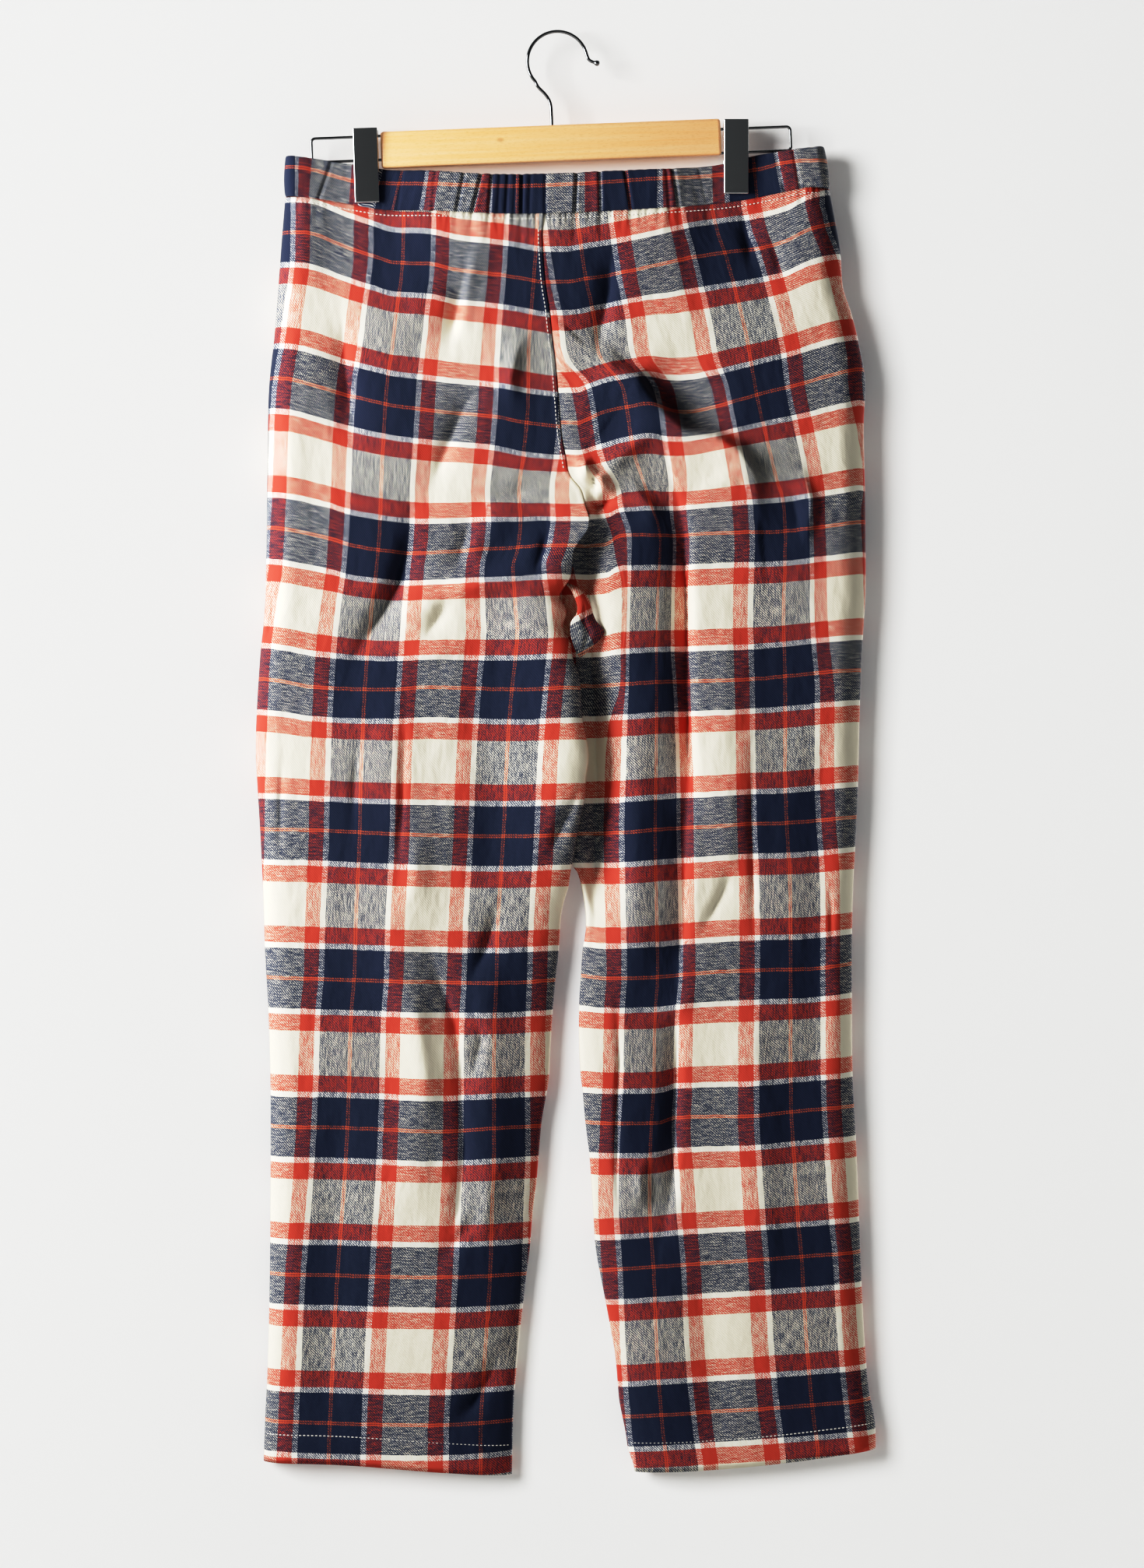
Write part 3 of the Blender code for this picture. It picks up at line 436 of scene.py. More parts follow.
# Creases of the waistband's near face, between which its gathers stand out: place at its top edge and at its
# seam, and depth.
BAND_CREASES = (
    (-206.6, -206.6, 0.6), (-198.8, -199.4, 0.8), (-190.4, -192.8, 0.9), (-183.8, -188.6, 0.7),
    (-173.6, -183.8, 1.8), (-167.6, -176.6, 0.9), (-161.6, -168.2, 1), (-134.6, -136.4, 0.8),
    (-126.8, -129.8, 0.9), (-119, -123.8, 1.6), (-110.6, -113.6, 0.6), (-101.6, -104, 0.8),
    (-93.8, -96.2, 1.2), (-86.6, -89, 0.8), (-79.4, -83.6, 0.9), (-71.6, -77.6, 1.5), (-65, -71, 0.8),
    (-58.4, -65.6, 1.8), (-50, -53, 1.6), (-44, -45.8, 1.2), (-38, -39.8, 1.4), (-32, -33.2, 1.2),
    (-27.2, -27.8, 1.9), (-20.6, -21.8, 1.2), (-14.6, -15.8, 0.9), (-9.2, -9.2, 1.2),
    (-2.6, -3.8, 0.7), (3.4, 2.8, 0.6), (9.4, 8.2, 0.8), (14.8, 13.6, 2), (18.4, 17.8, 1),
    (24.4, 24.4, 0.8), (32.8, 33.4, 1.6), (40.6, 41.2, 0.7), (47.2, 49, 0.8), (52, 56.8, 1.5),
    (59.2, 63.4, 0.8), (67, 69.4, 0.8), (74.2, 75.4, 0.6), (78.4, 78.4, 1), (83.8, 86.2, 1.3),
    (88.6, 93.4, 1.6), (95.8, 100.6, 0.7), (102.4, 107.8, 0.8), (108.4, 115.6, 1.3), (115, 120.4, 0.7),
    (121, 124.6, 0.6), (149.8, 154.6, 1.2), (155.8, 160.6, 0.8), (161.2, 167.8, 0.9),
    (167.8, 175, 1.5), (174.4, 180.4, 0.8), (181, 187, 1.4), (188.8, 192.4, 0.6), (196, 198.4, 0.7),
)
# The orange line along the waistband.
BAND_STRIPE = (
    # x, z
    (-207.8, -104.1), (-189.8, -105.9), (-159.8, -113.7), (-131.6, -116.1), (-98, -117.3),
    (-45.8, -119.1), (-9.8, -118.5), (36.4, -116.1), (78.4, -113.1), (110.2, -111.3), (155.2, -105.3),
    (176.2, -100.5), (203.8, -99.3),
)

# Inner edge of each leg: the centre seam, then the edge beside the other leg. Below the parting the right
# leg's runs behind the left leg.
CENTRE_SEAM = (
    # z, x
    (-126, -10.4), (-140.1, -10.4), (-155.1, -11.6), (-171.9, -11), (-194.7, -9.2), (-213.9, -6.2),
    (-230.7, -4.4), (-255.9, -1.4), (-284.1, 1), (-310.5, 3.2), (-326.4, 6.2), (-341.1, 9.3),
    (-351.9, 17.8), (-364.5, 21.4), (-374.1, 24.4),
)
INNER = {
    "left": (
        *CENTRE_SEAM,
        (-383.7, 23.2), (-398.7, 13), (-408.3, 11.8), (-421, 9.4), (-428, 4.6), (-435.3, 1.6),
        (-441, 5.8), (-447.9, 7), (-455, 4.8), (-462, 5.8), (-469.5, 10.2), (-482, 11.8),
        (-496.5, 17), (-526.5, 19), (-540, 21.6), (-556.5, 24.1), (-574.5, 22), (-586.5, 21.4),
        (-598.5, 19.3), (-610.5, 16.6), (-622.5, 14.2), (-634.5, 12.4), (-646.5, 10), (-658.5, 8.2),
        (-670.5, 4.6), (-682.5, 2.5), (-706.5, 1), (-730.5, -1.7), (-754.5, -3.8), (-778.5, -5.3),
        (-802.5, -6.5), (-814.5, -8), (-838.5, -12.2), (-862.5, -14.3), (-886.5, -16.4), (-910.5, -19.4),
        (-934.5, -21.2), (-958.5, -24.2), (-982.5, -26.9), (-994.5, -28.4), (-1030.5, -31.7),
        (-1054.5, -33.8), (-1110.3, -35.3),
    ),
    "right": (
        *CENTRE_SEAM,
        (-384, 15), (-398, 3), (-420, -1), (-436, -8), (-455, -4), (-470, 2),
        (-490, 6), (-520, 10), (-556, 14), (-600, 9), (-625, 6), (-638, 9),
        (-646.5, 15.4), (-658.5, 18.6), (-670.5, 20.8), (-682.5, 22), (-694.5, 21.4), (-706.5, 19.3),
        (-730.5, 17.8), (-748.5, 16.6), (-778.5, 16.6), (-802.5, 17.8), (-814.5, 19.3), (-838.5, 21.4),
        (-862.5, 24.4), (-886.5, 26.2), (-910.5, 27.7), (-934.5, 29.2), (-958.5, 33.4), (-970.5, 35.8),
        (-994.5, 40.3), (-1018.5, 44.5), (-1042.5, 46.6), (-1054.5, 47.8), (-1078.5, 52.6), (-1090.5, 54.4),
        (-1102.5, 58.6), (-1110.3, 60),
    ),
}
PARTING = -376.0  # where the right leg's inner edge leaves the left leg's
PARTING_FADE = 90.0

# How far each leg's inner side is drawn in front of or behind the other's, by height.
OVERLAP_REACH = {"left": 66, "right": 42.0}
OVERLAP = {
    "left": (
        # z, shift
        (-360, 0), (-372, 4), (-384, 7), (-400, 9.5), (-440, 11), (-560, 11),
        (-620, 8), (-660, 2), (-700, -2), (-780, -5), (-1112, -5),
    ),
    "right": (
        (-360, 0), (-372, 0), (-386, 5.5), (-406, 9), (-455, 11), (-560, 10),
        (-620, 8), (-660, 3), (-700, 0), (-1112, 0),
    ),
}

# Creases: height out (+) or in (-), width on the viewer's left and right, then points from its upper end down.
# Those that run across go to the right, with their lower and upper width.
CREASE_HEIGHT = 2.1
CREASE_FADE = (0.45, 60)  # over which an end dies out: a share of its length, and the longest stretch
CREASE_FLARE = 0.9  # how much wider it is at its ends
CREASE_REST = 0.15  # how much of its height is left there
GROOVE_POWER, RIDGE_POWER = 1.15, 1.7  # a groove is sharp at its middle and a ridge is round
RIGHT_TROUGH = ((90, -348), (97, -385), (100, -440), (100, -490), (101, -540), (103, -600))
CREASES = {
    ("left", BACK): (
        (-4.2, 15, 8, (-167, -196), (-164, -250), (-158, -300), (-157, -334)),
        (-5, 9, 4, (-70, -186), (-77, -212), (-84, -246)),
        (2, 3, 6, (-61, -158), (-66, -185), (-70, -200), (-74, -218), (-79, -240)),
        (2.8, 7, 5, (-22, -226), (-32, -248), (-36, -268), (-30, -294)),
        (-3.6, 7, 5, (-58, -266), (-72, -290), (-84, -316), (-92, -338), (-101, -360)),
        (-6.4, 5, 9, (-111, -366), (-117, -400), (-124, -424), (-137, -448), (-150, -470), (-160, -490)),
        (-3.2, 6, 9, (-76, -426), (-87, -441), (-95, -455), (-106, -472)),
        (4, 7, 11, (-112, -438), (-70, -427), (-4, -418)),
        (-2.6, 4, 4, (-6, -378), (-12, -400), (-18, -420)),
        (-3.2, 8, 4, (-64, -368), (-71, -392), (-80, -418)),
        (-2.2, 4, 6, (-66, -358), (-36, -357), (-6, -350)),
        (-2.2, 1.6, 2.4, (-223, -422), (-219.5, -432), (-220, -448), (-222.5, -460), (-228, -478)),
        (-1.3, 2.4, 2.4, (-211, -546), (-213, -590), (-214, -646)),
        (-1.6, 3, 2, (-152, -540), (-156, -580), (-157, -616)),
        (-1.8, 3, 2, (-116, -510), (-118, -560), (-120, -610), (-124, -660)),
        (2.2, 8, 15, (-106, -590), (-108, -640), (-109, -700)),
        (-2.6, 6, 4, (-99, -698), (-89, -735), (-79, -762), (-74, -802), (-72, -862), (-76, -905), (-90, -946)),
        (2.4, 14, 9, (-120, -704), (-108, -760), (-101, -800), (-99, -860)),
        (-2.8, 7, 3, (-67, -750), (-58, -775), (-64, -800), (-72, -814)),
        (-3, 4, 7, (-43, -664), (-56, -704), (-70, -736)),
        (-2.6, 4, 5, (20, -580), (4, -608), (-8, -638)),
        (-2.2, 5, 4, (-58, -906), (-74, -926), (-92, -946)),
        (-3.2, 3, 6, (-43, -1014), (-56, -1036), (-66, -1054), (-79, -1070)),
        (1.8, 6, 8, (-57, -864), (-54, -900), (-57, -936)),
    ),
    ("right", BACK): (
        (
            6.6, 24, 4, (24, -244), (45, -262), (62, -268), (78, -289), (98, -307), (122, -313), (140, -323),
            (151, -342), (154, -372),
        ),
        (-4.8, 5, 26, (60, -262), (84, -284), (106, -302), (126, -310)),
        (-3.6, 8, 5, (43, -158), (39, -200), (32, -236), (30, -256)),
        (-2.2, 5, 5, (141, -136), (146, -160), (151, -186)),
        (-2.2, 5, 5, (163, -154), (169, -174), (174, -196)),
        (2.8, 9, 5, (78, -306), (56, -321), (34, -336)),
        (-4.8, 24, 2.4, *RIGHT_TROUGH),
        (-4.4, 10, 2.4, *RIGHT_TROUGH),
        (-4.4, 13, 3, (102, -560), (98, -620), (97, -680), (96, -700), (93, -722), (92, -746)),
        (-5.6, 9, 2.5, (92, -740), (91, -810), (90, -850), (88, -890), (82, -926)),
        (2.6, 10, 3, (183, -328), (195, -362), (192, -386), (194, -408)),
        (-2.2, 8, 4, (178, -346), (184, -372), (188, -398)),
        (2.4, 10, 5, (46, -342), (60, -354), (73, -367), (80, -392)),
        (5.4, 5, 5, (18, -326), (22, -338), (25, -347)),
        (5, 4, 5, (31, -338), (34, -348), (35, -358)),
        (-3, 2.5, 2.5, (25, -336), (28, -346), (29, -356)),
        (-6, 4, 4, (20, -366), (33, -365), (44, -356)),
        (-3.2, 5, 4, (23, -368), (21, -385), (20, -400), (20, -424)),
        (-6.8, 10, 9, (22, -364), (23, -395), (24, -428), (25, -470), (29, -540), (31, -600), (28, -690)),
        (-1.8, 1.8, 1.8, (46, -744), (47.5, -790), (46, -820), (45.5, -870), (47, -914)),
        (-1.5, 2.2, 2, (150, -550), (149, -600), (150, -650), (151, -708)),
        (-1.1, 2, 2, (210, -650), (211, -716)),
        (-2.2, 3, 7, (137, -636), (126, -663), (118, -678), (106, -698)),
        (1.6, 5, 5, (82, -760), (93, -749), (108, -742)),
        (2.2, 5, 5, (63, -866), (65, -906)),
        (-1.8, 4, 4, (71, -868), (73, -912)),
    ),
}

# Cloth that has slipped out from under the left leg's edge at the crotch: its left and right outline from the
# top down, each with its place in depth, and how far it swells between them.
TUCK_LEFT = (
    # x, z, y
    (6, -424.5, -8), (11, -431, -12.5), (15, -441, -15), (14.6, -448, -16), (10.4, -454.5, -16),
    (10, -463, -15), (11.6, -470.5, -13.5), (14, -477, -11), (17.2, -481.5, -7),
)
TUCK_RIGHT = (
    (8, -424, -8), (17, -428.4, -10), (24.2, -436.8, -10), (26.4, -444.6, -10), (29.6, -452.8, -10.5),
    (36.2, -461.8, -10.5), (31.6, -468.6, -9.5), (25.2, -475, -8.5), (18.8, -481, -7),
)
TUCK_SWELL = 2.2
TUCK_CORNER, TUCK_RUN = (24.2, -436.8), (0.48, -0.877)  # its plaid's red stripe starts here and runs this way
TUCK_STRIPE = (26.6, 34)  # from that corner to its plaid's orange lines, across and along the stripe
TUCK_CREASE = (1.4, 0.52, 0.1)  # depth, place across and width
TUCK_CREASE_START, TUCK_CREASE_FADE = 0.2, 0.25  # of the tuck's length
TUCK_GRID = (24, 44)

LEG_GRID = {BACK: (152, 308), FRONT: (60, 190)}  # columns, rows
HEM_TURN_ROWS = 10

# Waistband
BAND_ENDS = ((-209.6, -210.2), (205.6, 209.8))  # left and right end, each at its top edge and at its seam
BAND_PARTING = -8.9  # where the two ends of its plaid meet
BAND_WARP = {
    "left": (
        # x at half height, place across the plaid in repeats
        (-210.2, -0.88), (-201.8, -0.79), (-199.4, -0.757), (-190.4, -0.655), (-159.2, -0.345),
        (-152, -0.243), (-137.6, -0.208), (-123.5, 0), (-104, 0.208), (-101, 0.243),
        (-93.2, 0.345), (-60.2, 0.655), (-51.8, 0.757), (-50, 0.792), (-30.8, 1), (-9.2, 1.2),
        (-6, 1.23),
    ),
    "right": (
        (-12, -0.64), (-8.6, -0.61), (21.4, -0.345), (32.2, -0.243), (34.6, -0.208), (54.4, 0),
        (76.6, 0.208), (80.8, 0.243), (89.2, 0.345), (119.8, 0.655), (128.8, 0.757), (132.4, 0.792),
        (152.2, 1), (169, 1.208), (172, 1.243), (183.4, 1.345), (207.4, 1.6), (212, 1.64),
    ),
}
BAND_SLANT = (
    # x, how far the plaid leans across from the top edge to the seam
    (-201.8, 0), (-189.8, -2.4), (-159.8, -2.4), (-123.8, -7.8), (-102.8, -4.8), (-92.6, -4.8),
    (-62.6, -7.8), (-50.6, -0.6), (-30.8, -0.6), (-9.8, 0), (21.4, 0), (33.4, 0.6), (54.4, 3),
    (77.8, 0), (89.8, 3.6), (119.2, 0.6), (152.2, 3), (171.4, 6), (183.4, 4.2), (206.2, 2.4),
)
# Cross-section of the casing, once round: place round it, height as a share of the band, depth inside the
# outer face.
BAND_SECTION = (
    (0, 0.035, 3), (0.03, 0.01, 2.6), (0.06, 0, 1.5), (0.09, 0.01, 0.5), (0.12, 0.035, 0), (0.7, 0.97, 0),
    (0.73, 0.995, 0.5), (0.76, 1, 1.4), (0.79, 0.99, 2.6), (0.82, 0.96, 3), (1, 0.035, 3),
)
BAND_COLUMNS = {BACK: 560, FRONT: 280}
BAND_TURN = 7.0  # length of each rounded end
BAND_TURN_STEPS = 8
BAND_ROWS = 30


def curve_through(rows, at, column=1):
    """Values of a column at given places, on a smooth curve through a table's rows."""
    table = np.array(sorted(rows, key=lambda row: row[0]), float)
    keys, values = table[:, 0], table[:, column]
    at = np.clip(at, keys[0], keys[-1])
    low = np.clip(np.searchsorted(keys, at, side="right") - 1, 0, len(keys) - 2)
    before, high = np.maximum(low - 1, 0), low + 1
    after = np.minimum(low + 2, len(keys) - 1)
    span = keys[high] - keys[low]
    share = (at - keys[low]) / span
    leave = (values[high] - values[before]) / (keys[high] - keys[before]) * span
    arrive = (values[after] - values[low]) / (keys[after] - keys[low]) * span
    square, cube = share**2, share**3
    return (
        (2 * cube - 3 * square + 1) * values[low]
        + (cube - 2 * square + share) * leave
        + (3 * square - 2 * cube) * values[high]
        + (cube - square) * arrive
    )


def smooth(value):
    """From 0 to 1 along a soft S."""
    value = np.clip(value, 0.0, 1.0)
    return value * value * (3.0 - 2.0 * value)


def hump(value):
    """1 at 0, falling softly to 0 on both sides within about 2."""
    return np.exp(-value * value)


def band_top(x):
    """Height of the waistband's top edge."""
    return curve_through(BAND, x, 1)


def band_seam(x):
    """Height of the seam between the waistband and the legs."""
    return curve_through(BAND, x, 2)


def inner_edge(side, z):
    """Place of a leg's inner edge."""
    return curve_through(INNER[side], z)


def pinch(x, z):
    """1 where a clip presses the cloth flat, falling to 0 around it."""
    most = np.zeros_like(x)
    for side in SIDES.values():
        across = smooth(1.0 - (np.abs(x - side["clip_x"]) - PINCH_FLAT) / PINCH_REACH)
        below = smooth(1.0 - (side["clip_z"] - CLIP_HEIGHT / 2 - z) / PINCH_DROP)
        most = np.maximum(most, across * below)
    return most


def hang_depth(x, z):
    """How far each face hangs from the middle, with both pressed together at the clips."""
    loose = curve_through(HANG, z)
    return loose + (CLIP_HALF_DEPTH - loose) * pinch(x, z)


def folds_at(rows, x, z):
    """Sum of soft ridges and troughs near each place, which die out at their ends."""
    total = np.zeros_like(x)
    for x_top, z_top, x_end, z_end, width, height in rows:
        run_x, run_z = x_end - x_top, z_end - z_top
        along = ((x - x_top) * run_x + (z - z_top) * run_z) / (run_x**2 + run_z**2)
        held = np.clip(along, 0.0, 1.0)
        apart = np.hypot(x - x_top - run_x * held, z - z_top - run_z * held)
        ends = smooth(along / FOLD_END + 0.5) * smooth((1.0 - along) / FOLD_END + 0.5)
        total += height * ends * hump(apart / width)
    return total


def creases_at(chains, x, z):
    """Sum of the creases near each place. Each follows its chain of points and dies out at both ends."""
    total = np.zeros_like(x)
    for height, left, right, *points in chains:
        lengths = [math.dist(*ends) for ends in zip(points, points[1:])]
        nearest = np.full_like(x, 1e6)
        side, gone = np.zeros_like(x), np.zeros_like(x)
        for place, ((x_top, z_top), (x_end, z_end)) in enumerate(zip(points, points[1:])):
            run_x, run_z = x_end - x_top, z_end - z_top
            held = np.clip(((x - x_top) * run_x + (z - z_top) * run_z) / lengths[place] ** 2, 0.0, 1.0)
            off_x, off_z = x - x_top - run_x * held, z - z_top - run_z * held
            apart = np.hypot(off_x, off_z)
            nearer = apart < nearest
            nearest = np.where(nearer, apart, nearest)
            side = np.where(nearer, run_x * off_z - run_z * off_x, side)
            gone = np.where(nearer, sum(lengths[:place]) + held * lengths[place], gone)
        fade = min(sum(lengths) * CREASE_FADE[0], CREASE_FADE[1])
        ends = smooth(gone / fade) * smooth((sum(lengths) - gone) / fade)
        width = np.where(side < 0.0, left, right) * (1.0 + CREASE_FLARE * (1.0 - ends))
        form = np.exp(-((nearest / width) ** (GROOVE_POWER if height < 0 else RIDGE_POWER)))
        total += CREASE_HEIGHT * height * (CREASE_REST + (1.0 - CREASE_REST) * ends) * form
    return total


def band_creases(face):
    """Creases of the waistband on one face: place at its top edge, place at its seam, depth."""
    if face == BACK:
        return BAND_CREASES
    off = FAR_GATHERS_OFFSET
    return [(-x_top - off, -x_seam - off, depth) for x_top, x_seam, depth in BAND_CREASES]


def gathers_at(x, z, face):
    """The waistband's gathers run on into the leg and die out below the seam."""
    below = np.maximum(band_seam(x) - z, 0.0)
    total = np.zeros_like(x)
    for x_top, x_seam, depth in band_creases(face):
        place = x_seam + (x_seam - x_top) / BAND_HEIGHT * below * LEAN_KEPT
        reach = GATHER_REACH[0] + GATHER_REACH[1] * depth
        width = GATHER_SPREAD[0] + below * GATHER_SPREAD[1]
        total -= depth * hump((x - place) / width) * smooth(1.0 - below / reach)
    height, length, reach = RIPPLE
    phase = x * 2.0 * np.pi / length + RIPPLE_WANDER[0] * np.sin(x / RIPPLE_WANDER[1])
    return (total + height * np.sin(phase) * smooth(1.0 - below / reach)) * (1.0 - pinch(x, z))


def level_at(down):
    """Mean height of a row, from 0 at the waistband to 1 at the hem."""
    share = ROW_SPREAD * down + (1.0 - ROW_SPREAD) * down * down
    return SEAM_LEVEL + (HEM_LEVEL - SEAM_LEVEL) * share


def row_at(level):
    """The row whose mean height is a given one: level_at turned round."""
    share = (level - SEAM_LEVEL) / (HEM_LEVEL - SEAM_LEVEL)
    square = 1.0 - ROW_SPREAD
    return (np.sqrt(ROW_SPREAD**2 + 4.0 * square * share) - ROW_SPREAD) / (2.0 * square)


def leg_surface(across, down, side, face):
    """Outer surface of a leg panel, from its outseam (0) to its centre seam and inseam (1)."""
    spread = COLUMN_EVEN * across + (1.0 - COLUMN_EVEN) * (0.5 - 0.5 * np.cos(np.pi * across))
    level = level_at(down)
    z = level.copy()
    near_seam = np.clip(1.0 - (SEAM_LEVEL - level) / SEAM_FADE, 0.0, 1.0) ** ROW_BEND
    near_hem = np.clip(1.0 - (level - HEM_LEVEL) / HEM_FADE, 0.0, 1.0) ** ROW_BEND
    for _ in range(4):  # the edges are charted by height, so each round comes nearer
        outer = curve_through(OUTSEAM[side], z)
        inner = inner_edge(side, z)
        x = outer + (inner - outer) * spread
        hem = curve_through(HEMS, x)
        if face == FRONT and side == "left":
            hem = hem - FAR_HEM_DROP * np.sin(np.pi * across)
        z = level + (band_seam(x) - SEAM_LEVEL) * near_seam + (hem - HEM_LEVEL) * near_hem
    below = band_seam(x) - z

    from_outer = np.clip(np.abs(x - outer) / OUTER_RADIUS, 0.0, 1.0)
    from_inner = np.clip(np.abs(x - inner) / EDGE_RADIUS, 0.0, 1.0)
    open_seat = np.sqrt(1.0 - np.clip((CENTRE_TOP - z) / (CENTRE_TOP - CROTCH), 0.0, 1.0) ** 2)
    if side == "left":
        open_seat = np.where(z < PARTING, open_seat * smooth(1.0 - (PARTING - z) / PARTING_FADE), open_seat)
    outer_round = np.sqrt(1.0 - (1.0 - from_outer) ** 2)
    inner_round = np.sqrt(np.clip(1.0 - (1.0 - open_seat**2) * (1.0 - from_inner) ** 2, 0.0, 1.0))
    depth = hang_depth(x, z) * outer_round * inner_round
    edges = smooth(across / EDGE_SHARE) * smooth((1.0 - across) / EDGE_SHARE)
    depth += folds_at(FOLDS[side, face], x, z) * edges
    depth += creases_at(CREASES.get((side, face), ()), x, z) * outer_round * smooth(from_inner / CREASE_START)
    depth += gathers_at(x, z, face) * outer_round
    depth += seam_relief(x, z, side, face) + hem_relief(z, hem)
    depth -= CLOTH * smooth((SEAM_SOFT / 2 - below) / SEAM_SOFT)  # its top edge goes in behind the waistband
    z = z + SEAM_TUCK * smooth((1.0 - below) / SEAM_SOFT) - SEAM_GAP

    shift = curve_through(OVERLAP[side], z) * smooth(1.0 - np.abs(x - inner) / OVERLAP_REACH[side])
    shift = SIDES[side]["sign"] * shift + EDGE_LEAN * (1.0 - outer_round)
    return np.stack([x, shift + face * (depth + SEAM_GAP / 2), z], axis=-1)


def seam_relief(x, z, side, face):
    """The centre seam: its allowance is turned under the left leg and sewn down, beside a narrow groove."""
    away = np.abs(x - inner_edge(side, z))
    depth, width = FAR_GROOVE if face == FRONT else NEAR_GROOVE
    relief = -depth * hump(away / width)
    if face == BACK and side == "left":
        relief += ALLOWANCE[0] * smooth((ALLOWANCE[1] - away) / ALLOWANCE_EDGE)
    if face == BACK and side == "right":
        relief -= SEAM_SINK[0] * hump(away / SEAM_SINK[1])
    return relief * smooth((z - PARTING) / SEAM_END)


def hem_relief(z, hem):
    """The turned-up hem stands a little proud below its row of stitches."""
    up = z - hem
    proud = HEM_PROUD * smooth((HEM_HEIGHT - up) / HEM_EDGE)
    return proud - HEM_GROOVE[0] * hump((up - HEM_HEIGHT + HEM_STITCHES_IN) / HEM_GROOVE[1])


def warp_place(x, z, side, face):
    """Place across the plaid in repeats: 0 on the leg's outer orange line and 1 on its inner one."""
    first, second = (curve_through(line, z) for line in WARP_LINES[side])
    pitch = (second - first) * PITCH_KEPT + SETT * (1.0 - PITCH_KEPT)
    between = (x - first) / (second - first)
    before = (x - first) / pitch
    after = 1.0 + (x - second) / pitch
    if side == "right" and face == BACK:
        squeeze = [curve_through(WARP_SQUEEZE, z, column) for column in range(1, 6)]
        far_white, far_red, white, red, beyond = squeeze
        rest = (x - first - red) / (second - first - red)
        between = squeezed(x - first, white, red, RED_ENDS + (1.0 - RED_ENDS) * rest)
        before = -squeezed(first - x, far_white, far_red, RED_ENDS + (first - x - far_red) / SETT)
        after = 1.0 + (x - second) / (pitch * beyond)
    return np.where(x < first, before, np.where(x > second, after, between))


def squeezed(apart, white, red, rest):
    """Place across the plaid at a distance from an orange line, where its white line and red come nearer."""
    to_red = WHITE_AT + (RED_ENDS - WHITE_AT) * (apart - white) / (red - white)
    return np.where(apart < white, WHITE_AT * apart / white, np.where(apart < red, to_red, rest))


def pulled(x, z, side, face):
    """Where a place lay on the plaid before the cloth was pulled."""
    if face == BACK:
        for at_x, at_z, reach_x, reach_z, across, up in PULLS[side]:
            share = hump(np.hypot((x - at_x) / reach_x, (z - at_z) / reach_z))
            x, z = x - across * share, z - up * share
    return x, z


def weft_place(x, z, side):
    """Place down the plaid in repeats: each orange line across the leg is a whole number."""
    lines = [curve_through(line, x) for line in WEFT_LINES[side]]
    lines = [lines[0] + SETT] + lines + [lines[-1] - SETT]
    total = np.zeros_like(x)
    for upper, lower in zip(lines, lines[1:]):
        total += np.clip((upper - z) / (upper - lower), 0.0, 1.0)
    return total


def new_object(name, data):
    """An object added to the scene."""
    made = bpy.data.objects.new(name, data)
    bpy.context.scene.collection.objects.link(made)
    return made


def as_mesh(bm, name):
    """A mesh made from a bmesh, which is freed."""
    mesh = bpy.data.meshes.new(name)
    bm.to_mesh(mesh)
    bm.free()
    return mesh


def values_of(items, name, kind=np.int32, width=1):
    """One property of all vertices, corners or faces of a mesh, with a row for each where it has a width."""
    values = np.zeros(len(items) * width, kind)
    items.foreach_get(name, values)
    return values.reshape(-1, width) if width > 1 else values


def set_places(mesh, points):
    mesh.vertices.foreach_set("co", (points * MM).astype(np.float32).ravel())


def flat_grid(columns, rows):
    """A grid from (0, 0) to (1, 1), made a mesh, with the place of each vertex on it."""
    bm = bmesh.new()
    bmesh.ops.create_grid(bm, x_segments=columns, y_segments=rows, size=0.5)
    bmesh.ops.translate(bm, verts=bm.verts, vec=(0.5, 0.5, 0.0))
    mesh = as_mesh(bm, "cloth")
    places = values_of(mesh.vertices, "co", np.float32, 3).astype(float)
    return mesh, places[:, 0], places[:, 1]


def lay_plaid(mesh, across, down):
    """Writes the place of each face's corner on the plaid to the mesh's UV map, in repeats."""
    layer = mesh.uv_layers.new(name="Plaid")
    layer.data.foreach_set("uv", np.stack([across, -down], axis=-1).astype(np.float32).ravel())


def add_piece(name, mesh, finish, slot, *nodes):
    """A piece of the trousers or the hanger, in place of the nodes that it replaces."""
    piece = new_object(name, mesh)
    mesh.materials.append(finish)
    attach(piece, "root")
    if nodes:
        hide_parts(*nodes)
    return piece


def shaded(mesh, sharp):
    """A mesh shaded smoothly but for its edges that turn by more than an angle."""
    mesh.shade_smooth()
    mesh.set_sharp_from_angle(angle=math.radians(sharp))
    return mesh


def finish_mesh(bm, name, sharp=40.0):
    bmesh.ops.recalc_face_normals(bm, faces=bm.faces)
    return shaded(as_mesh(bm, name), sharp)


def box(size):
    bm = bmesh.new()
    bmesh.ops.create_cube(bm, size=1.0)
    bmesh.ops.scale(bm, verts=bm.verts, vec=size)
    return bm


def round_edges(bm, edges, radius, steps):
    bmesh.ops.bevel(
        bm, geom=edges, offset=radius, offset_type="OFFSET", affect="EDGES", segments=steps, profile=0.5,
        material=-1,
    )


def give_thickness(piece, thickness):
    """Makes a sheet a wall, inwards from its outer face."""
    wall = piece.modifiers.new("Wall", "SOLIDIFY")
    wall.thickness = thickness * MM
    wall.offset = -1.0


def point_outwards(mesh, face):
    """Turns the faces over if the sheet's front doesn't look away from the garment's middle."""
    if values_of(mesh.polygons, "normal", np.float32, 3)[:, 1].sum() * face < 0:
        mesh.flip_normals()


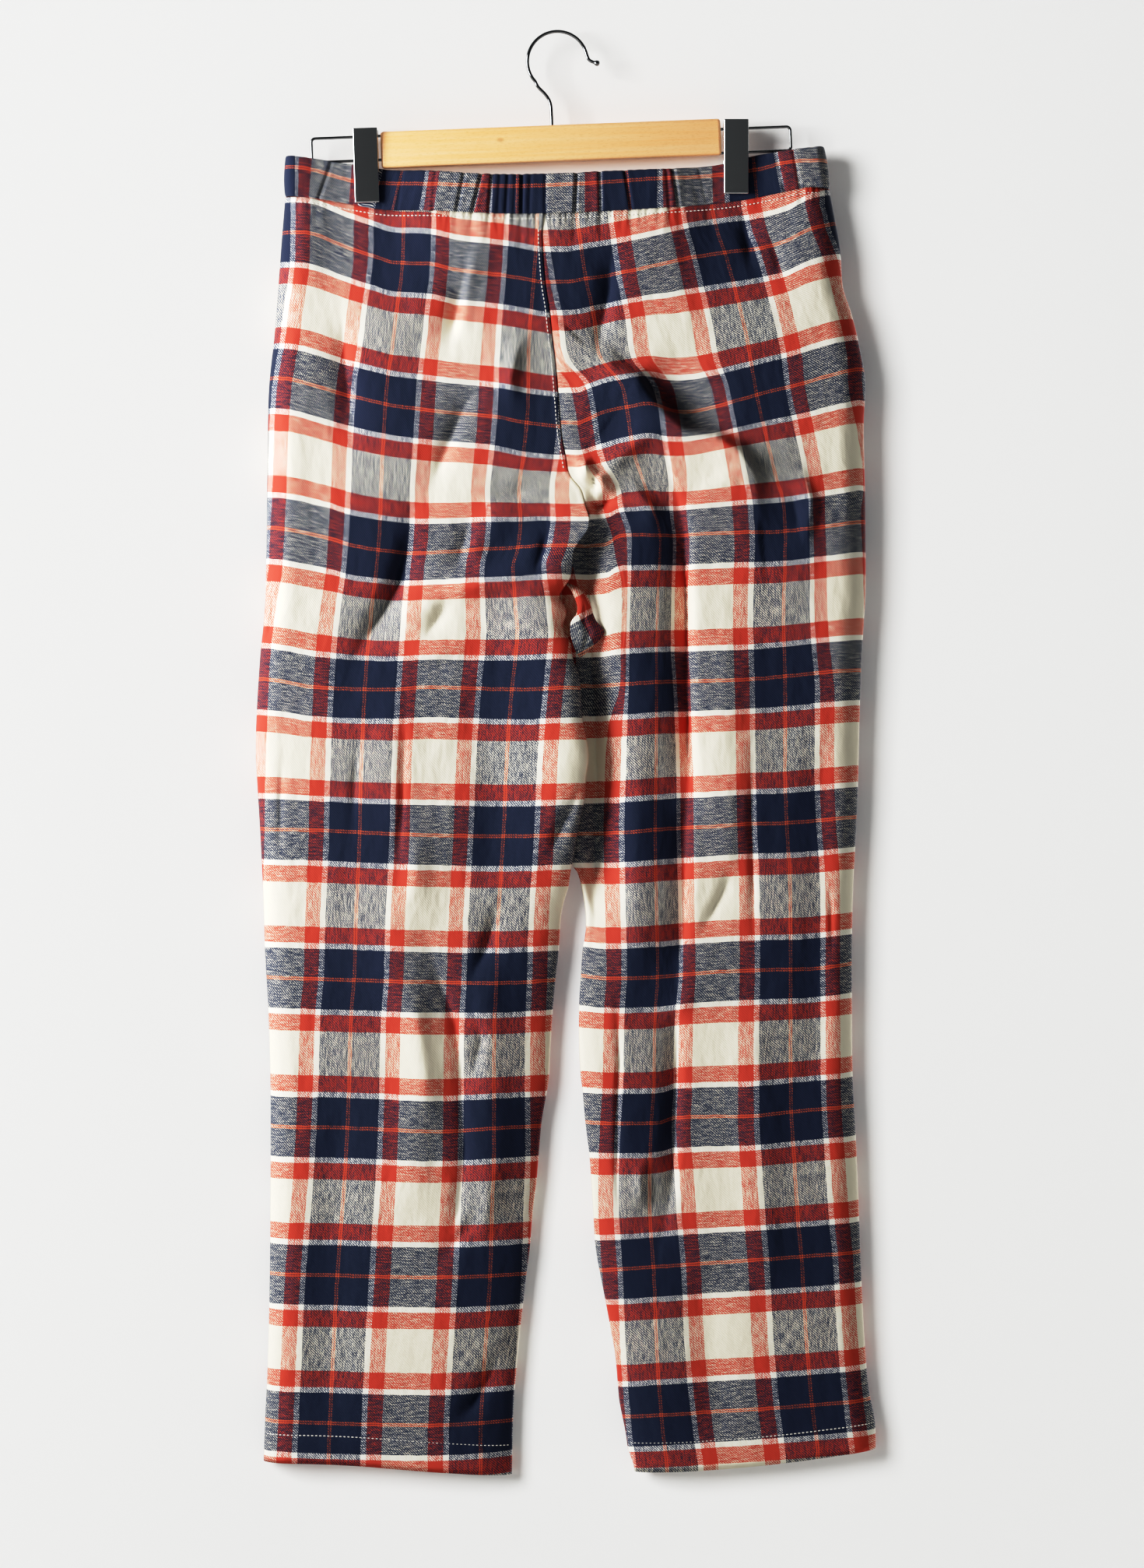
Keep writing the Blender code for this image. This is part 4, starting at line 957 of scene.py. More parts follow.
def cloth_sheet(name, mesh, points, plaid, face, finish, *nodes):
    """Puts a sheet in its place with its plaid and makes it as thick as the cloth, inwards."""
    set_places(mesh, points)
    corners = values_of(mesh.loops, "vertex_index")
    lay_plaid(mesh, *(part[corners] for part in plaid))
    point_outwards(mesh, face)
    mesh.shade_smooth()
    piece = add_piece(name, mesh, finish, "flannel", *nodes)
    give_thickness(piece, CLOTH)
    return piece


def outward_normals(across, down, side, face):
    """Level unit normals of a leg panel's outer surface, from its slope across."""
    step = 0.002
    ends = [leg_surface(np.clip(across + part, 0.0, 1.0), down, side, face) for part in (step, -step)]
    along = ends[0] - ends[1]
    normals = np.stack([along[:, 1], -along[:, 0], np.zeros_like(across)], axis=-1)
    normals /= np.linalg.norm(normals, axis=1)[:, None]
    return normals * np.sign(normals[:, 1].sum() * face)


def leg(side, face, finish):
    """One leg panel. Its cloth runs past the hem's edge and turns up inside."""
    columns, rows = LEG_GRID[face]
    turn = HEM_TURN_ROWS / rows
    mesh, across, down = flat_grid(columns, rows)
    reach = 1.0 - turn
    turned = np.clip((down - reach) / turn, 0.0, 1.0)
    climb = turned * HEM_HEIGHT
    shown = np.where(down > reach, row_at(HEM_LEVEL + climb), down / reach)
    points = leg_surface(across, shown, side, face)
    x, z = pulled(points[:, 0], points[:, 2], side, face)
    warp = warp_place(x, z, side, face) + (FRONT_OFFSET if face == FRONT else 0.0)
    plaid = (warp, weft_place(x, z, side) + 2.0 * climb / SETT)
    inside = turned > 0.0
    inwards = HEM_FOLD_GAP * np.sqrt(1.0 - (1.0 - smooth(turned[inside] / HEM_CURL)) ** 2)
    points[inside] -= inwards[:, None] * outward_normals(across[inside], shown[inside], side, face)
    name = f"{FACE_WORDS[face]}_{side}_leg"
    return cloth_sheet(f"{name}_cloth", mesh, points, plaid, face, finish, name)


def stitch_row(name, across, down, side, face, finish):
    """Short rounded stitches laid end to end along a line on a leg, a little sunk into the cloth."""
    points = leg_surface(across, down, side, face)
    points[:, 1] += face * THREAD_OUT
    points = [Vector(point) for point in points]
    size = Matrix.Diagonal((STITCH_LENGTH / 2, THREAD_RADIUS, THREAD_RADIUS, 1.0))
    bm = bmesh.new()
    gone, due = 0.0, STITCH_PITCH / 2
    for start, end in zip(points, points[1:]):
        step = end - start
        turn = Vector((1.0, 0.0, 0.0)).rotation_difference(step).to_matrix().to_4x4()
        while due <= gone + step.length:
            middle = start + step * ((due - gone) / max(step.length, 1e-6))
            place = Matrix.Translation(middle * MM) @ turn @ Matrix.Scale(MM, 4) @ size
            bmesh.ops.create_uvsphere(bm, u_segments=6, v_segments=5, radius=1.0, matrix=place)
            due += STITCH_PITCH
        gone += step.length
    add_piece(name, finish_mesh(bm, name, sharp=180.0), finish, "flannel")


def crotch_tuck(finish):
    """The small tongue of cloth in front of the right leg. Its plaid is turned with it."""
    mesh, across, down = flat_grid(*TUCK_GRID)
    edges = []
    for outline in (TUCK_LEFT, TUCK_RIGHT):
        rows = [(place / (len(outline) - 1), *point) for place, point in enumerate(outline)]
        edges.append(np.stack([curve_through(rows, down, column) for column in (1, 3, 2)], axis=-1))
    points = edges[0] + (edges[1] - edges[0]) * across[:, None]
    depth, middle, width = TUCK_CREASE
    ends = smooth((down - TUCK_CREASE_START) / TUCK_CREASE_FADE) * smooth((1.0 - down) / TUCK_CREASE_FADE)
    points[:, 1] -= TUCK_SWELL * np.sin(np.pi * across) * np.sin(np.pi * down) ** 0.5
    points[:, 1] += depth * hump((across - middle) / width) * ends
    off_x, off_z = points[:, 0] - TUCK_CORNER[0], points[:, 2] - TUCK_CORNER[1]
    along = off_x * TUCK_RUN[0] + off_z * TUCK_RUN[1]
    away = off_x * TUCK_RUN[1] - off_z * TUCK_RUN[0]
    plaid = ((TUCK_STRIPE[0] + away) / SETT, (along - TUCK_STRIPE[1]) / SETT)
    return cloth_sheet("crotch_tuck_cloth", mesh, points, plaid, BACK, finish)


def waistband(finish):
    """The gathered casing: one closed ring, with its plaid parted at the centre back."""
    ring = band_ring()
    columns = len(ring)
    mesh, around, about = flat_grid(columns, BAND_ROWS)
    column = np.rint(around * columns).astype(int) % columns
    plan = np.array([(x, y) for x, y, _ in ring])
    faces = np.array([face for _, _, face in ring])
    run = np.roll(plan, -1, axis=0) - np.roll(plan, 1, axis=0)
    inwards = np.stack([-run[:, 1], run[:, 0]], axis=-1)
    inwards /= np.linalg.norm(inwards, axis=1)[:, None]
    keys, shares, depths = (np.array(part) for part in zip(*BAND_SECTION))
    level, inside = np.interp(about, keys, shares), np.interp(about, keys, depths)

    x = plan[column, 0]
    ends = [np.interp(level, (0.0, 1.0), end) for end in BAND_ENDS]
    x = ends[0] + (x - BAND_ENDS[0][1]) / (BAND_ENDS[1][1] - BAND_ENDS[0][1]) * (ends[1] - ends[0])
    y, face = plan[column, 1], faces[column]
    back, front = band_relief(x, level, BACK), band_relief(x, level, FRONT)
    relief = np.where(face == BACK, back, front) * (1.0 - np.clip(inside / BAND_THICK, 0.0, 1.0))
    proud = relief - inside
    x = x - inwards[column, 0] * proud
    y = y - inwards[column, 1] * proud
    top, seam = band_top(x), band_seam(x)
    ruffle = np.where(face == BACK, band_ruffle(x, BACK), band_ruffle(x, FRONT))
    z = top + ruffle * (1.0 - level) ** 2 + (seam - top) * level
    set_places(mesh, np.stack([x, y, z], axis=-1))
    lay_band_plaid(mesh, x, z, level)
    bm = bmesh.new()
    bm.from_mesh(mesh)
    bmesh.ops.remove_doubles(bm, verts=bm.verts, dist=0.002 * MM)
    ring_mesh = finish_mesh(bm, "waistband", sharp=180.0)
    return add_piece("waistband_cloth", ring_mesh, finish, "waistband", "waistband")


def band_ring():
    """Plan of the waistband's outer face, anticlockwise from its near left corner: x, y and face."""
    first, last = BAND_ENDS[0][1], BAND_ENDS[1][1]
    left, right = first + BAND_TURN, last - BAND_TURN
    ring = []
    turn = [math.pi * step / BAND_TURN_STEPS for step in range(1, BAND_TURN_STEPS)]
    for face, start, end in ((BACK, left, right), (FRONT, right, left)):
        for x in np.linspace(start, end, BAND_COLUMNS[face]):
            ring.append((x, face * ring_depth(x), face))
        for angle in turn:
            x = end - face * BAND_TURN * math.sin(angle)
            side = face if angle < math.pi / 2 else -face
            ring.append((x, face * ring_depth(x) * math.cos(angle), side))
    return ring


def ring_depth(x):
    """How far the waistband's seam is from the middle, at one place."""
    place = np.array([float(x)])
    return float(hang_depth(place, band_seam(place))[0])


def band_relief(x, level, face):
    """Gathers of the casing, which stand out between its creases, and its crown."""
    total = BAND_CROWN * np.sin(np.pi * np.clip(level, 0.0, 1.0))
    for x_top, x_seam, depth in band_creases(face):
        place = x_top + (x_seam - x_top) * level
        drawn = depth * smooth((depth - GATHER_FROM) / (GATHER_FULL - GATHER_FROM))
        total -= GATHER_IN[0] * depth**0.5 * drawn * hump((x - place) / GATHER_IN[1])
        total += GATHER_OUT[0] * drawn * hump((x - place) / GATHER_OUT[1])
    total -= BAND_ROLL[0] * hump((level - 1.0) / BAND_ROLL[1])
    return total * (1.0 - BAND_HELD * pinch(x, band_seam(x)))


def band_ruffle(x, face):
    """How the gathers draw the casing's top edge down, in small notches."""
    total = np.zeros_like(x)
    for x_top, _, depth in band_creases(face):
        total -= GATHER_RUFFLE[0] * depth * hump((x - x_top) / GATHER_RUFFLE[1])
    return total * (1.0 - pinch(x, band_seam(x)))


def lay_band_plaid(mesh, x, z, level):
    """The plaid of the waistband. Each side of the centre back has its own, so a face takes one of them."""
    middle = x - curve_through(BAND_SLANT, x) * (level - 0.5)
    down = (curve_through(BAND_STRIPE, x) - z) / SETT
    left, right = (curve_through(BAND_WARP[side], middle) for side in SIDES)
    corners = values_of(mesh.loops, "vertex_index")
    sizes = values_of(mesh.polygons, "loop_total")
    centre = np.add.reduceat(x[corners], values_of(mesh.polygons, "loop_start")) / sizes
    on_left = np.repeat(centre < BAND_PARTING, sizes)
    lay_plaid(mesh, np.where(on_left, left[corners], right[corners]), down[corners])


def leg_stitches(finish):
    """Rows of stitches that hold each hem, run below the waistband and follow the centre seam."""
    levels = {"hem": HEM_LEVEL + HEM_HEIGHT - HEM_STITCHES_IN, "waist": SEAM_LEVEL - WAIST_STITCHES_BELOW}
    across = np.linspace(*STITCH_COLUMNS)
    for side in SIDES:
        for face, word in FACE_WORDS.items():
            for seam, level in levels.items():
                down = np.full_like(across, row_at(level))
                stitch_row(f"{word}_{side}_{seam}_stitches", across, down, side, face, finish)
    down = np.linspace(*(row_at(level) for level in CENTRE_STITCHES), len(across))
    across = np.ones_like(down)
    for _ in range(6):  # each round brings the row nearer to its distance from the seam
        point = leg_surface(across, down, "left", BACK)
        gap = inner_edge("left", point[:, 2]) - CENTRE_STITCHES_IN - point[:, 0]
        across = np.clip(across + gap / PANEL_WIDTH, 0.0, 1.0)
    stitch_row("centre_seam_stitches", across, down, "left", BACK, finish)


def swept_wire(name, points, radii, finish, *nodes):
    """Round wire along a smooth line, with its own radius at each point, made a mesh."""
    curve = bpy.data.curves.new(name, "CURVE")
    curve.dimensions = "3D"
    curve.bevel_depth = MM
    curve.bevel_resolution = 6
    curve.use_fill_caps = True
    spline = curve.splines.new("POLY")
    spline.points.add(len(points) - 1)
    for place, point, radius in zip(spline.points, points, radii):
        place.co = (*(Vector(point) * MM), 1.0)
        place.radius = radius
    form = new_object(name, curve)
    mesh = bpy.data.meshes.new_from_object(form.evaluated_get(bpy.context.evaluated_depsgraph_get()))
    bpy.data.objects.remove(form)
    bm = bmesh.new()
    bm.from_mesh(mesh)
    bmesh.ops.remove_doubles(bm, verts=bm.verts, dist=0.001 * MM)
    add_piece(name, finish_mesh(bm, name), finish, "wire", *nodes)


def rounded_path(points, steps):
    """More points on a smooth line through a few."""
    points = np.array(points, float)
    gone = np.concatenate([[0.0], np.cumsum(np.linalg.norm(np.diff(points, axis=0), axis=1))])
    at = np.linspace(0.0, gone[-1], steps)
    columns = [curve_through(list(zip(gone, points[:, axis])), at) for axis in range(3)]
    return np.stack(columns, axis=-1)


def arc(centre, radius, start, end, steps):
    """Points on a round arc in the plane of the hanger, from one angle to another."""
    angles = np.radians(np.linspace(start, end, steps + 1))
    x = centre[0] + radius * np.cos(angles)
    z = centre[1] + radius * np.sin(angles)
    return [(float(a), 0.0, float(b)) for a, b in zip(x, z)]


def hanger_hook(finish):
    """Question-mark hook of one bent wire. Its cut end is rolled into a small bead."""
    shank = [(HOOK_SHANK_X + x, 0.0, z) for x, z in HOOK_SHANK]
    bow = arc((0.0, HOOK_WIRE_RADIUS - HOOK_RADIUS), HOOK_RADIUS, *HOOK_BOW, steps=40)
    tip = [(x, 0.0, z) for x, z in HOOK_TIP]
    line = rounded_path(shank + bow + tip, steps=260)
    end_x, end_z = HOOK_TIP[-1]
    bead = [(x, 0.0, end_z - (x - end_x) * BEAD_SLOPE) for x, _ in HOOK_BEAD]
    radii = [HOOK_WIRE_RADIUS] * len(line) + [radius for _, radius in HOOK_BEAD]
    swept_wire("hook_wire", np.concatenate([line, bead]), radii, finish, "hanger_hook")


def wire_loop(name, side, finish):
    """U of wire that a clip slides on. Its ends are in the bar."""
    start = BAR_SIZE[0] / 2 - LOOP_DEPTH_IN_BAR
    far = BAR_SIZE[0] / 2 + side["reach"] - LOOP_CORNER
    corner = LOOP_HALF_GAP - LOOP_CORNER
    outline = [(start, 0.0, LOOP_HALF_GAP)]
    outline += arc((far, corner), LOOP_CORNER, 90.0, 0.0, steps=10)
    outline += arc((far, -corner), LOOP_CORNER, 0.0, -90.0, steps=10)
    outline.append((start, 0.0, -LOOP_HALF_GAP))
    points = [on_bar((side["sign"] * x, y, z + side["rise"])) for x, y, z in outline]
    swept_wire(f"{name}_loop_wire", points, [WIRE_RADIUS] * len(points), finish, f"wire_loop_{name}")


def on_bar(point):
    """A point given from the bar's middle, put where the tilted bar is."""
    turn = Matrix.Rotation(math.radians(-BAR_TILT), 3, "Y")
    return turn @ Vector(point) + Vector(BAR_CENTRE)


def hanger_bar(finish):
    """Flat beech bar with rounded arrises."""
    bm = box(BAR_SIZE)
    round_edges(bm, bm.edges[:], BAR_ARRIS, steps=6)
    for vertex in bm.verts:
        vertex.co = on_bar(vertex.co) * MM
    add_piece("beech_bar", finish_mesh(bm, "beech_bar", sharp=30.0), finish, "wood", "hanger_bar")


def clip_leaf(name, side, face, finish):
    """Pressed leaf of a clip: a shallow tray, open towards the cloth."""
    bm = box((CLIP_WIDTH, CLIP_DEPTH, CLIP_HEIGHT))
    bmesh.ops.translate(bm, verts=bm.verts, vec=(0.0, CLIP_DEPTH / 2, CLIP_HEIGHT / 2))
    open_side = [item for item in bm.faces if item.normal.y < -0.9]
    bmesh.ops.delete(bm, geom=open_side, context="FACES")
    round_edges(bm, [edge for edge in bm.edges if not edge.is_boundary], CLIP_BEND, steps=5)
    bmesh.ops.recalc_face_normals(bm, faces=bm.faces)
    if sum(item.normal.y * item.calc_area() for item in bm.faces) < 0:
        bmesh.ops.reverse_faces(bm, faces=bm.faces)
    angle = math.radians(side["tilt"])
    foot_x = side["clip_x"] - math.sin(angle) * CLIP_HEIGHT / 2
    foot_z = side["clip_z"] - math.cos(angle) * CLIP_HEIGHT / 2
    foot = Matrix.Translation((foot_x, face * (CLIP_HALF_DEPTH + SEAM_GAP), foot_z))
    tilt = Matrix.Rotation(angle, 4, "Y")
    lean = Matrix.Rotation(math.radians(-face * CLIP_LEAN), 4, "X")
    mirror = Matrix.Diagonal((1.0, float(face), 1.0, 1.0))
    bmesh.ops.transform(bm, verts=bm.verts, matrix=Matrix.Scale(MM, 4) @ foot @ tilt @ lean @ mirror)
    if face == BACK:
        bmesh.ops.reverse_faces(bm, faces=bm.faces)
    mesh = shaded(as_mesh(bm, name), sharp=50.0)
    word = CLIP_WORDS[face]
    piece = add_piece(f"{name}_clip_{word}_leaf", mesh, finish, "clip", f"clip_{name}_{word}_leaf")
    give_thickness(piece, CLIP_SHEET)


def nodes_of(owner):
    """Empties a material's or a world's nodes and returns a function that adds one, with settings and links."""
    owner.use_nodes = True
    tree = owner.node_tree
    tree.nodes.clear()

    def add(kind, settings=None, **inputs):
        node = tree.nodes.new(kind)
        for name, value in (settings or {}).items():
            setattr(node, name, value)
        for name, value in inputs.items():
            key = int(name[1:]) if name[0] == "_" else name.replace("_", " ")
            if isinstance(value, bpy.types.NodeSocket):
                tree.links.new(value, node.inputs[key])
            else:
                node.inputs[key].default_value = value
        return node

    return add


def linear(colour):
    """A colour given as sRGB hex, as the linear numbers that Blender works in."""
    parts = [int(colour[place : place + 2], 16) / 255.0 for place in (1, 3, 5)]
    return (*(part / 12.92 if part <= 0.04045 else ((part + 0.055) / 1.055) ** 2.4 for part in parts), 1.0)


def scale_for(sizes):
    """Scale of a pattern on Object coordinates whose marks have these sizes in millimetres."""
    return tuple(1 / (size * MM) for size in sizes)


def yarn_stripes(add, place, stripes):
    """Colour of a set of yarns by their place across the plaid in mm, mirrored about each orange line."""
    repeats = add("ShaderNodeMath", {"operation": "DIVIDE"}, _0=place, _1=SETT).outputs[0]
    apart = add("ShaderNodeMath", {"operation": "PINGPONG"}, _0=repeats, _1=0.5).outputs[0]
    doubled = add("ShaderNodeMath", {"operation": "MULTIPLY"}, _0=apart, _1=2.0).outputs[0]
    ramp = add("ShaderNodeValToRGB", Fac=doubled)
    ramp.color_ramp.interpolation = "CONSTANT"
    dots = ramp.color_ramp.elements
    while len(dots) < len(stripes):
        dots.new(1.0)
    start = 0.0
    for dot, (end, colour) in zip(dots, stripes):
        dot.position = start
        dot.color = linear(colour)
        start = end * 2.0 / SETT
    return ramp.outputs["Color"]


def flannel(name):
    """Yarn-dyed cotton twill, brushed: two sets of yarns that mix to heather where their colours differ, a soft
    diagonal, matt, with a faint pale bloom of raised fibre in random flecks."""
    made = bpy.data.materials.new(name)
    add = nodes_of(made)
    plaid = add("ShaderNodeUVMap", {"uv_map": "Plaid"}).outputs["UV"]
    metric = add("ShaderNodeVectorMath", {"operation": "SCALE"}, _0=plaid, Scale=SETT).outputs[0]  # to mm
    waver = add("ShaderNodeTexNoise", Vector=metric, Scale=1 / WANDER[0], Detail=2.0).outputs["Color"]
    offset = add("ShaderNodeVectorMath", {"operation": "SUBTRACT"}, _0=waver, _1=(0.5,) * 3).outputs[0]
    bent = add("ShaderNodeVectorMath", {"operation": "MULTIPLY_ADD"}, _0=offset, _1=(WANDER[1],) * 3, _2=metric)
    split = add("ShaderNodeSeparateXYZ", Vector=bent.outputs[0])
    across, up = split.outputs["X"], split.outputs["Y"]
    yarns = [yarn_stripes(add, *pair) for pair in ((across, WARP_STRIPES), (up, WEFT_STRIPES))]
    warp_light, weft_light = (add("ShaderNodeRGBToBW", Color=colour).outputs[0] for colour in yarns)

    # Twill ridges, the slubs of whichever yarn is the dark one, and flecks where the nap hides a yarn
    both = add("ShaderNodeMath", {"operation": "ADD"}, _0=across, _1=up).outputs[0]
    turns = add("ShaderNodeMath", {"operation": "MULTIPLY"}, _0=both, _1=2 * math.pi / TWILL_PITCH).outputs[0]
    ridge = add("ShaderNodeMath", {"operation": "SINE"}, _0=turns).outputs[0]
    streaks = []
    for size in (WARP_STREAK, WEFT_STREAK):
        scaled = add("ShaderNodeMapping", Vector=metric, Scale=tuple(1 / part for part in size)).outputs[0]
        slubs = add("ShaderNodeTexNoise", Vector=scaled, Scale=1.0, Detail=1.0).outputs["Fac"]
        streaks.append(add("ShaderNodeMath", {"operation": "SUBTRACT"}, _0=slubs, _1=0.5).outputs[0])
    warp_dark = add("ShaderNodeMath", {"operation": "GREATER_THAN"}, _0=weft_light, _1=warp_light).outputs[0]
    streak = add("ShaderNodeMix", {"data_type": "FLOAT"}, _0=warp_dark, _2=streaks[1], _3=streaks[0]).outputs[0]
    nap = add("ShaderNodeTexNoise", Vector=metric, Scale=1 / FLECK, Detail=1.0).outputs["Fac"]
    fleck = add("ShaderNodeMath", {"operation": "SUBTRACT"}, _0=nap, _1=0.5).outputs[0]

    # How much of the cloth shows its warp, and the heather that comes of it
    apart = add("ShaderNodeMath", {"operation": "SUBTRACT"}, _0=weft_light, _1=warp_light).outputs[0]
    size = add("ShaderNodeMath", {"operation": "ABSOLUTE"}, _0=apart).outputs[0]
    cover = add("ShaderNodeMath", {"operation": "MULTIPLY"}, _0=apart, _1=size).outputs[0]
    share = WARP_SHARE
    weighted = (
        (cover, DARK_COVER), (ridge, TWILL_CONTRAST), (streak, STREAK_CONTRAST), (fleck, FLECK_CONTRAST),
    )
    for part, weight in weighted:
        share = add("ShaderNodeMath", {"operation": "MULTIPLY_ADD"}, _0=part, _1=weight, _2=share).outputs[0]
    warp, weft = (add("ShaderNodeGamma", Color=colour, Gamma=1 / MIXED_AS).outputs[0] for colour in yarns)
    blend = {"data_type": "RGBA", "clamp_factor": True}
    mixed = add("ShaderNodeMix", blend, _0=share, _6=weft, _7=warp).outputs[2]
    yarn = add("ShaderNodeGamma", Color=mixed, Gamma=MIXED_AS).outputs[0]

    # Raised fibre, small puckers and the ridges in relief
    fibre = add("ShaderNodeTexNoise", Vector=metric, Scale=1 / NAP, Detail=3.0).outputs["Fac"]
    bloom = add("ShaderNodeMath", {"operation": "MULTIPLY_ADD"}, _0=fibre, _1=NAP_BLOOM[0], _2=NAP_BLOOM[1])
    cloth = add("ShaderNodeMix", blend, _0=bloom.outputs[0], _6=yarn, _7=linear("#9A9894")).outputs[2]
    pucker = add("ShaderNodeMapping", Vector=metric, Scale=(1 / DRAPE[0], 1 / DRAPE[1], 1.0)).outputs[0]
    drape = add("ShaderNodeTexNoise", Vector=pucker, Scale=1.0, Detail=2.0).outputs["Fac"]
    soft = add("ShaderNodeBump", Height=drape, Distance=DRAPE[2] * MM, Strength=1.0).outputs[0]
    grain = add("ShaderNodeMath", {"operation": "MULTIPLY_ADD"}, _0=ridge, _1=TWILL_RELIEF, _2=fibre).outputs[0]
    bump = add("ShaderNodeBump", Height=grain, Distance=NAP_RELIEF * MM, Strength=1.0, Normal=soft).outputs[0]
    shader = add(
        "ShaderNodeBsdfPrincipled", Base_Color=cloth, Roughness=0.92, Specular_IOR_Level=0.2,
        Sheen_Weight=0.06, Sheen_Roughness=0.5, Normal=bump,
    )
    add("ShaderNodeOutputMaterial", Surface=shader.outputs[0])
    return made


def beech(name):
    """Sawn beech under clear satin lacquer: pale gold with long faint growth bands, short darker ray flecks,
    one small pin knot and a soft highlight."""
    made = bpy.data.materials.new(name)
    add = nodes_of(made)
    place = add("ShaderNodeTexCoord").outputs["Object"]
    turned = add("ShaderNodeMapping", Vector=place, Rotation=(0.0, math.radians(BAR_TILT), 0.0)).outputs[0]
    bands = add("ShaderNodeMapping", Vector=turned, Scale=scale_for(GROWTH_BAND)).outputs[0]
    band = add("ShaderNodeTexNoise", Vector=bands, Scale=1.0, Detail=4.0, Roughness=0.6).outputs["Fac"]
    tone = add("ShaderNodeValToRGB", Fac=band)
    for dot, position, colour in zip(tone.color_ramp.elements, (0.3, 0.7), ("#FFB97E", "#FFC998")):
        dot.position = position
        dot.color = linear(colour)
    shown = tone.outputs[0]

    flecks = add("ShaderNodeMapping", Vector=turned, Scale=scale_for(RAY_FLECK)).outputs[0]
    fleck = add("ShaderNodeTexNoise", Vector=flecks, Scale=1.0, Detail=1.0).outputs["Fac"]
    heart = Vector(KNOT) * MM
    from_knot = add("ShaderNodeVectorMath", {"operation": "SUBTRACT"}, _0=place, _1=heart).outputs[0]
    flat = add("ShaderNodeVectorMath", {"operation": "MULTIPLY"}, _0=from_knot, _1=(0.6, 0.0, 1.0)).outputs[0]
    knot = add("ShaderNodeVectorMath", {"operation": "LENGTH"}, _0=flat).outputs["Value"]
    # each mark's pattern, where it starts and where it is full, its strength and its colour
    marks = ((fleck, 0.56, 0.72, 0.3, "#C98F4C"), (knot, KNOT_EDGE * MM, KNOT_HEART * MM, 0.45, "#A86A30"))
    for value, none, full, strength, colour in marks:
        dark = add("ShaderNodeMapRange", Value=value, From_Min=none, From_Max=full, To_Max=strength).outputs[0]
        shown = add("ShaderNodeMix", {"data_type": "RGBA"}, _0=dark, _6=shown, _7=linear(colour)).outputs[2]
    bump = add("ShaderNodeBump", Height=fleck, Distance=0.04 * MM, Strength=0.6).outputs[0]
    shader = add(
        "ShaderNodeBsdfPrincipled", Base_Color=shown, Roughness=0.45, Coat_Weight=0.25, Coat_Roughness=0.22,
        Normal=bump,
    )
    add("ShaderNodeOutputMaterial", Surface=shader.outputs[0])
    return made


def bright_plate(name, colour, scratch, roughness):
    """Steel with a bright nickel plate: a near mirror, faintly cloudy, with fine scratches from its tools."""
    made = bpy.data.materials.new(name)
    add = nodes_of(made)
    place = add("ShaderNodeTexCoord").outputs["Object"]
    stretched = add("ShaderNodeMapping", Vector=place, Scale=scale_for(scratch)).outputs[0]
    scratches = add("ShaderNodeTexNoise", Vector=stretched, Scale=1.0, Detail=2.0).outputs["Fac"]
    cloud = add("ShaderNodeTexNoise", Vector=place, Scale=1 / (PLATE_CLOUD * MM), Detail=2.0).outputs["Fac"]
    rough = add("ShaderNodeMapRange", Value=cloud, To_Min=roughness, To_Max=roughness + 0.1).outputs[0]
    bump = add("ShaderNodeBump", Height=scratches, Distance=0.01 * MM, Strength=0.4).outputs[0]
    shader = add(
        "ShaderNodeBsdfPrincipled", Base_Color=linear(colour), Metallic=1.0, Roughness=rough, Normal=bump
    )
    add("ShaderNodeOutputMaterial", Surface=shader.outputs[0])
    return made


def sewing_thread(name):
    """Spun cotton thread: off-white, matt, with a twist that reads as a faint ribbing."""
    made = bpy.data.materials.new(name)
    add = nodes_of(made)
    place = add("ShaderNodeTexCoord").outputs["Object"]
    twist = add("ShaderNodeTexNoise", Vector=place, Scale=1 / (THREAD_TWIST * MM), Detail=1.0).outputs["Fac"]
    light, dark = linear("#F6F4EE"), linear("#DAD6CB")
    tone = add("ShaderNodeMix", {"data_type": "RGBA"}, _0=twist, _6=dark, _7=light).outputs[2]
    bump = add("ShaderNodeBump", Height=twist, Distance=0.05 * MM, Strength=1.0).outputs[0]
    shader = add("ShaderNodeBsdfPrincipled", Base_Color=tone, Roughness=0.8, Normal=bump)
    add("ShaderNodeOutputMaterial", Surface=shader.outputs[0])
    return made


def painted_wall(name, colour, glow):
    """Smooth matt paint with painted shade, darker towards the lower left and paler towards the upper right, and an
    even light of its own, which keeps shadows on it faint. Its back is clear, so that it hides nothing from behind."""
    made = bpy.data.materials.new(name)
    add = nodes_of(made)
    place = add("ShaderNodeSeparateXYZ", Vector=add("ShaderNodeTexCoord").outputs["Object"])
    across, up = place.outputs["X"], place.outputs["Y"]
    # painted shade: the paint's tone is graded along a slant, darker towards the lower left
    slant = add("ShaderNodeMath", {"operation": "MULTIPLY_ADD"}, _0=up, _1=WALL_SLANT, _2=across).outputs[0]
    (start, end), (dim, pale) = WALL_SHADE_GRADE, WALL_SHADE_TONES
    painted_shade = add("ShaderNodeMapRange", Value=slant, From_Min=start, From_Max=end, To_Min=dim, To_Max=pale)
    tone = add("ShaderNodeVectorMath", {"operation": "SCALE"}, _0=linear(colour)[:3], Scale=painted_shade.outputs[0])
    matt = add("ShaderNodeBsdfDiffuse", Color=tone.outputs[0]).outputs[0]
    even = add("ShaderNodeEmission", Strength=glow).outputs[0]
    paint = add("ShaderNodeAddShader", _0=matt, _1=even).outputs[0]
    clear = add("ShaderNodeBsdfTransparent").outputs[0]
    behind = add("ShaderNodeNewGeometry").outputs["Backfacing"]
    both = add("ShaderNodeMixShader", _0=behind, _1=paint, _2=clear).outputs[0]
    add("ShaderNodeOutputMaterial", Surface=both)
    return made


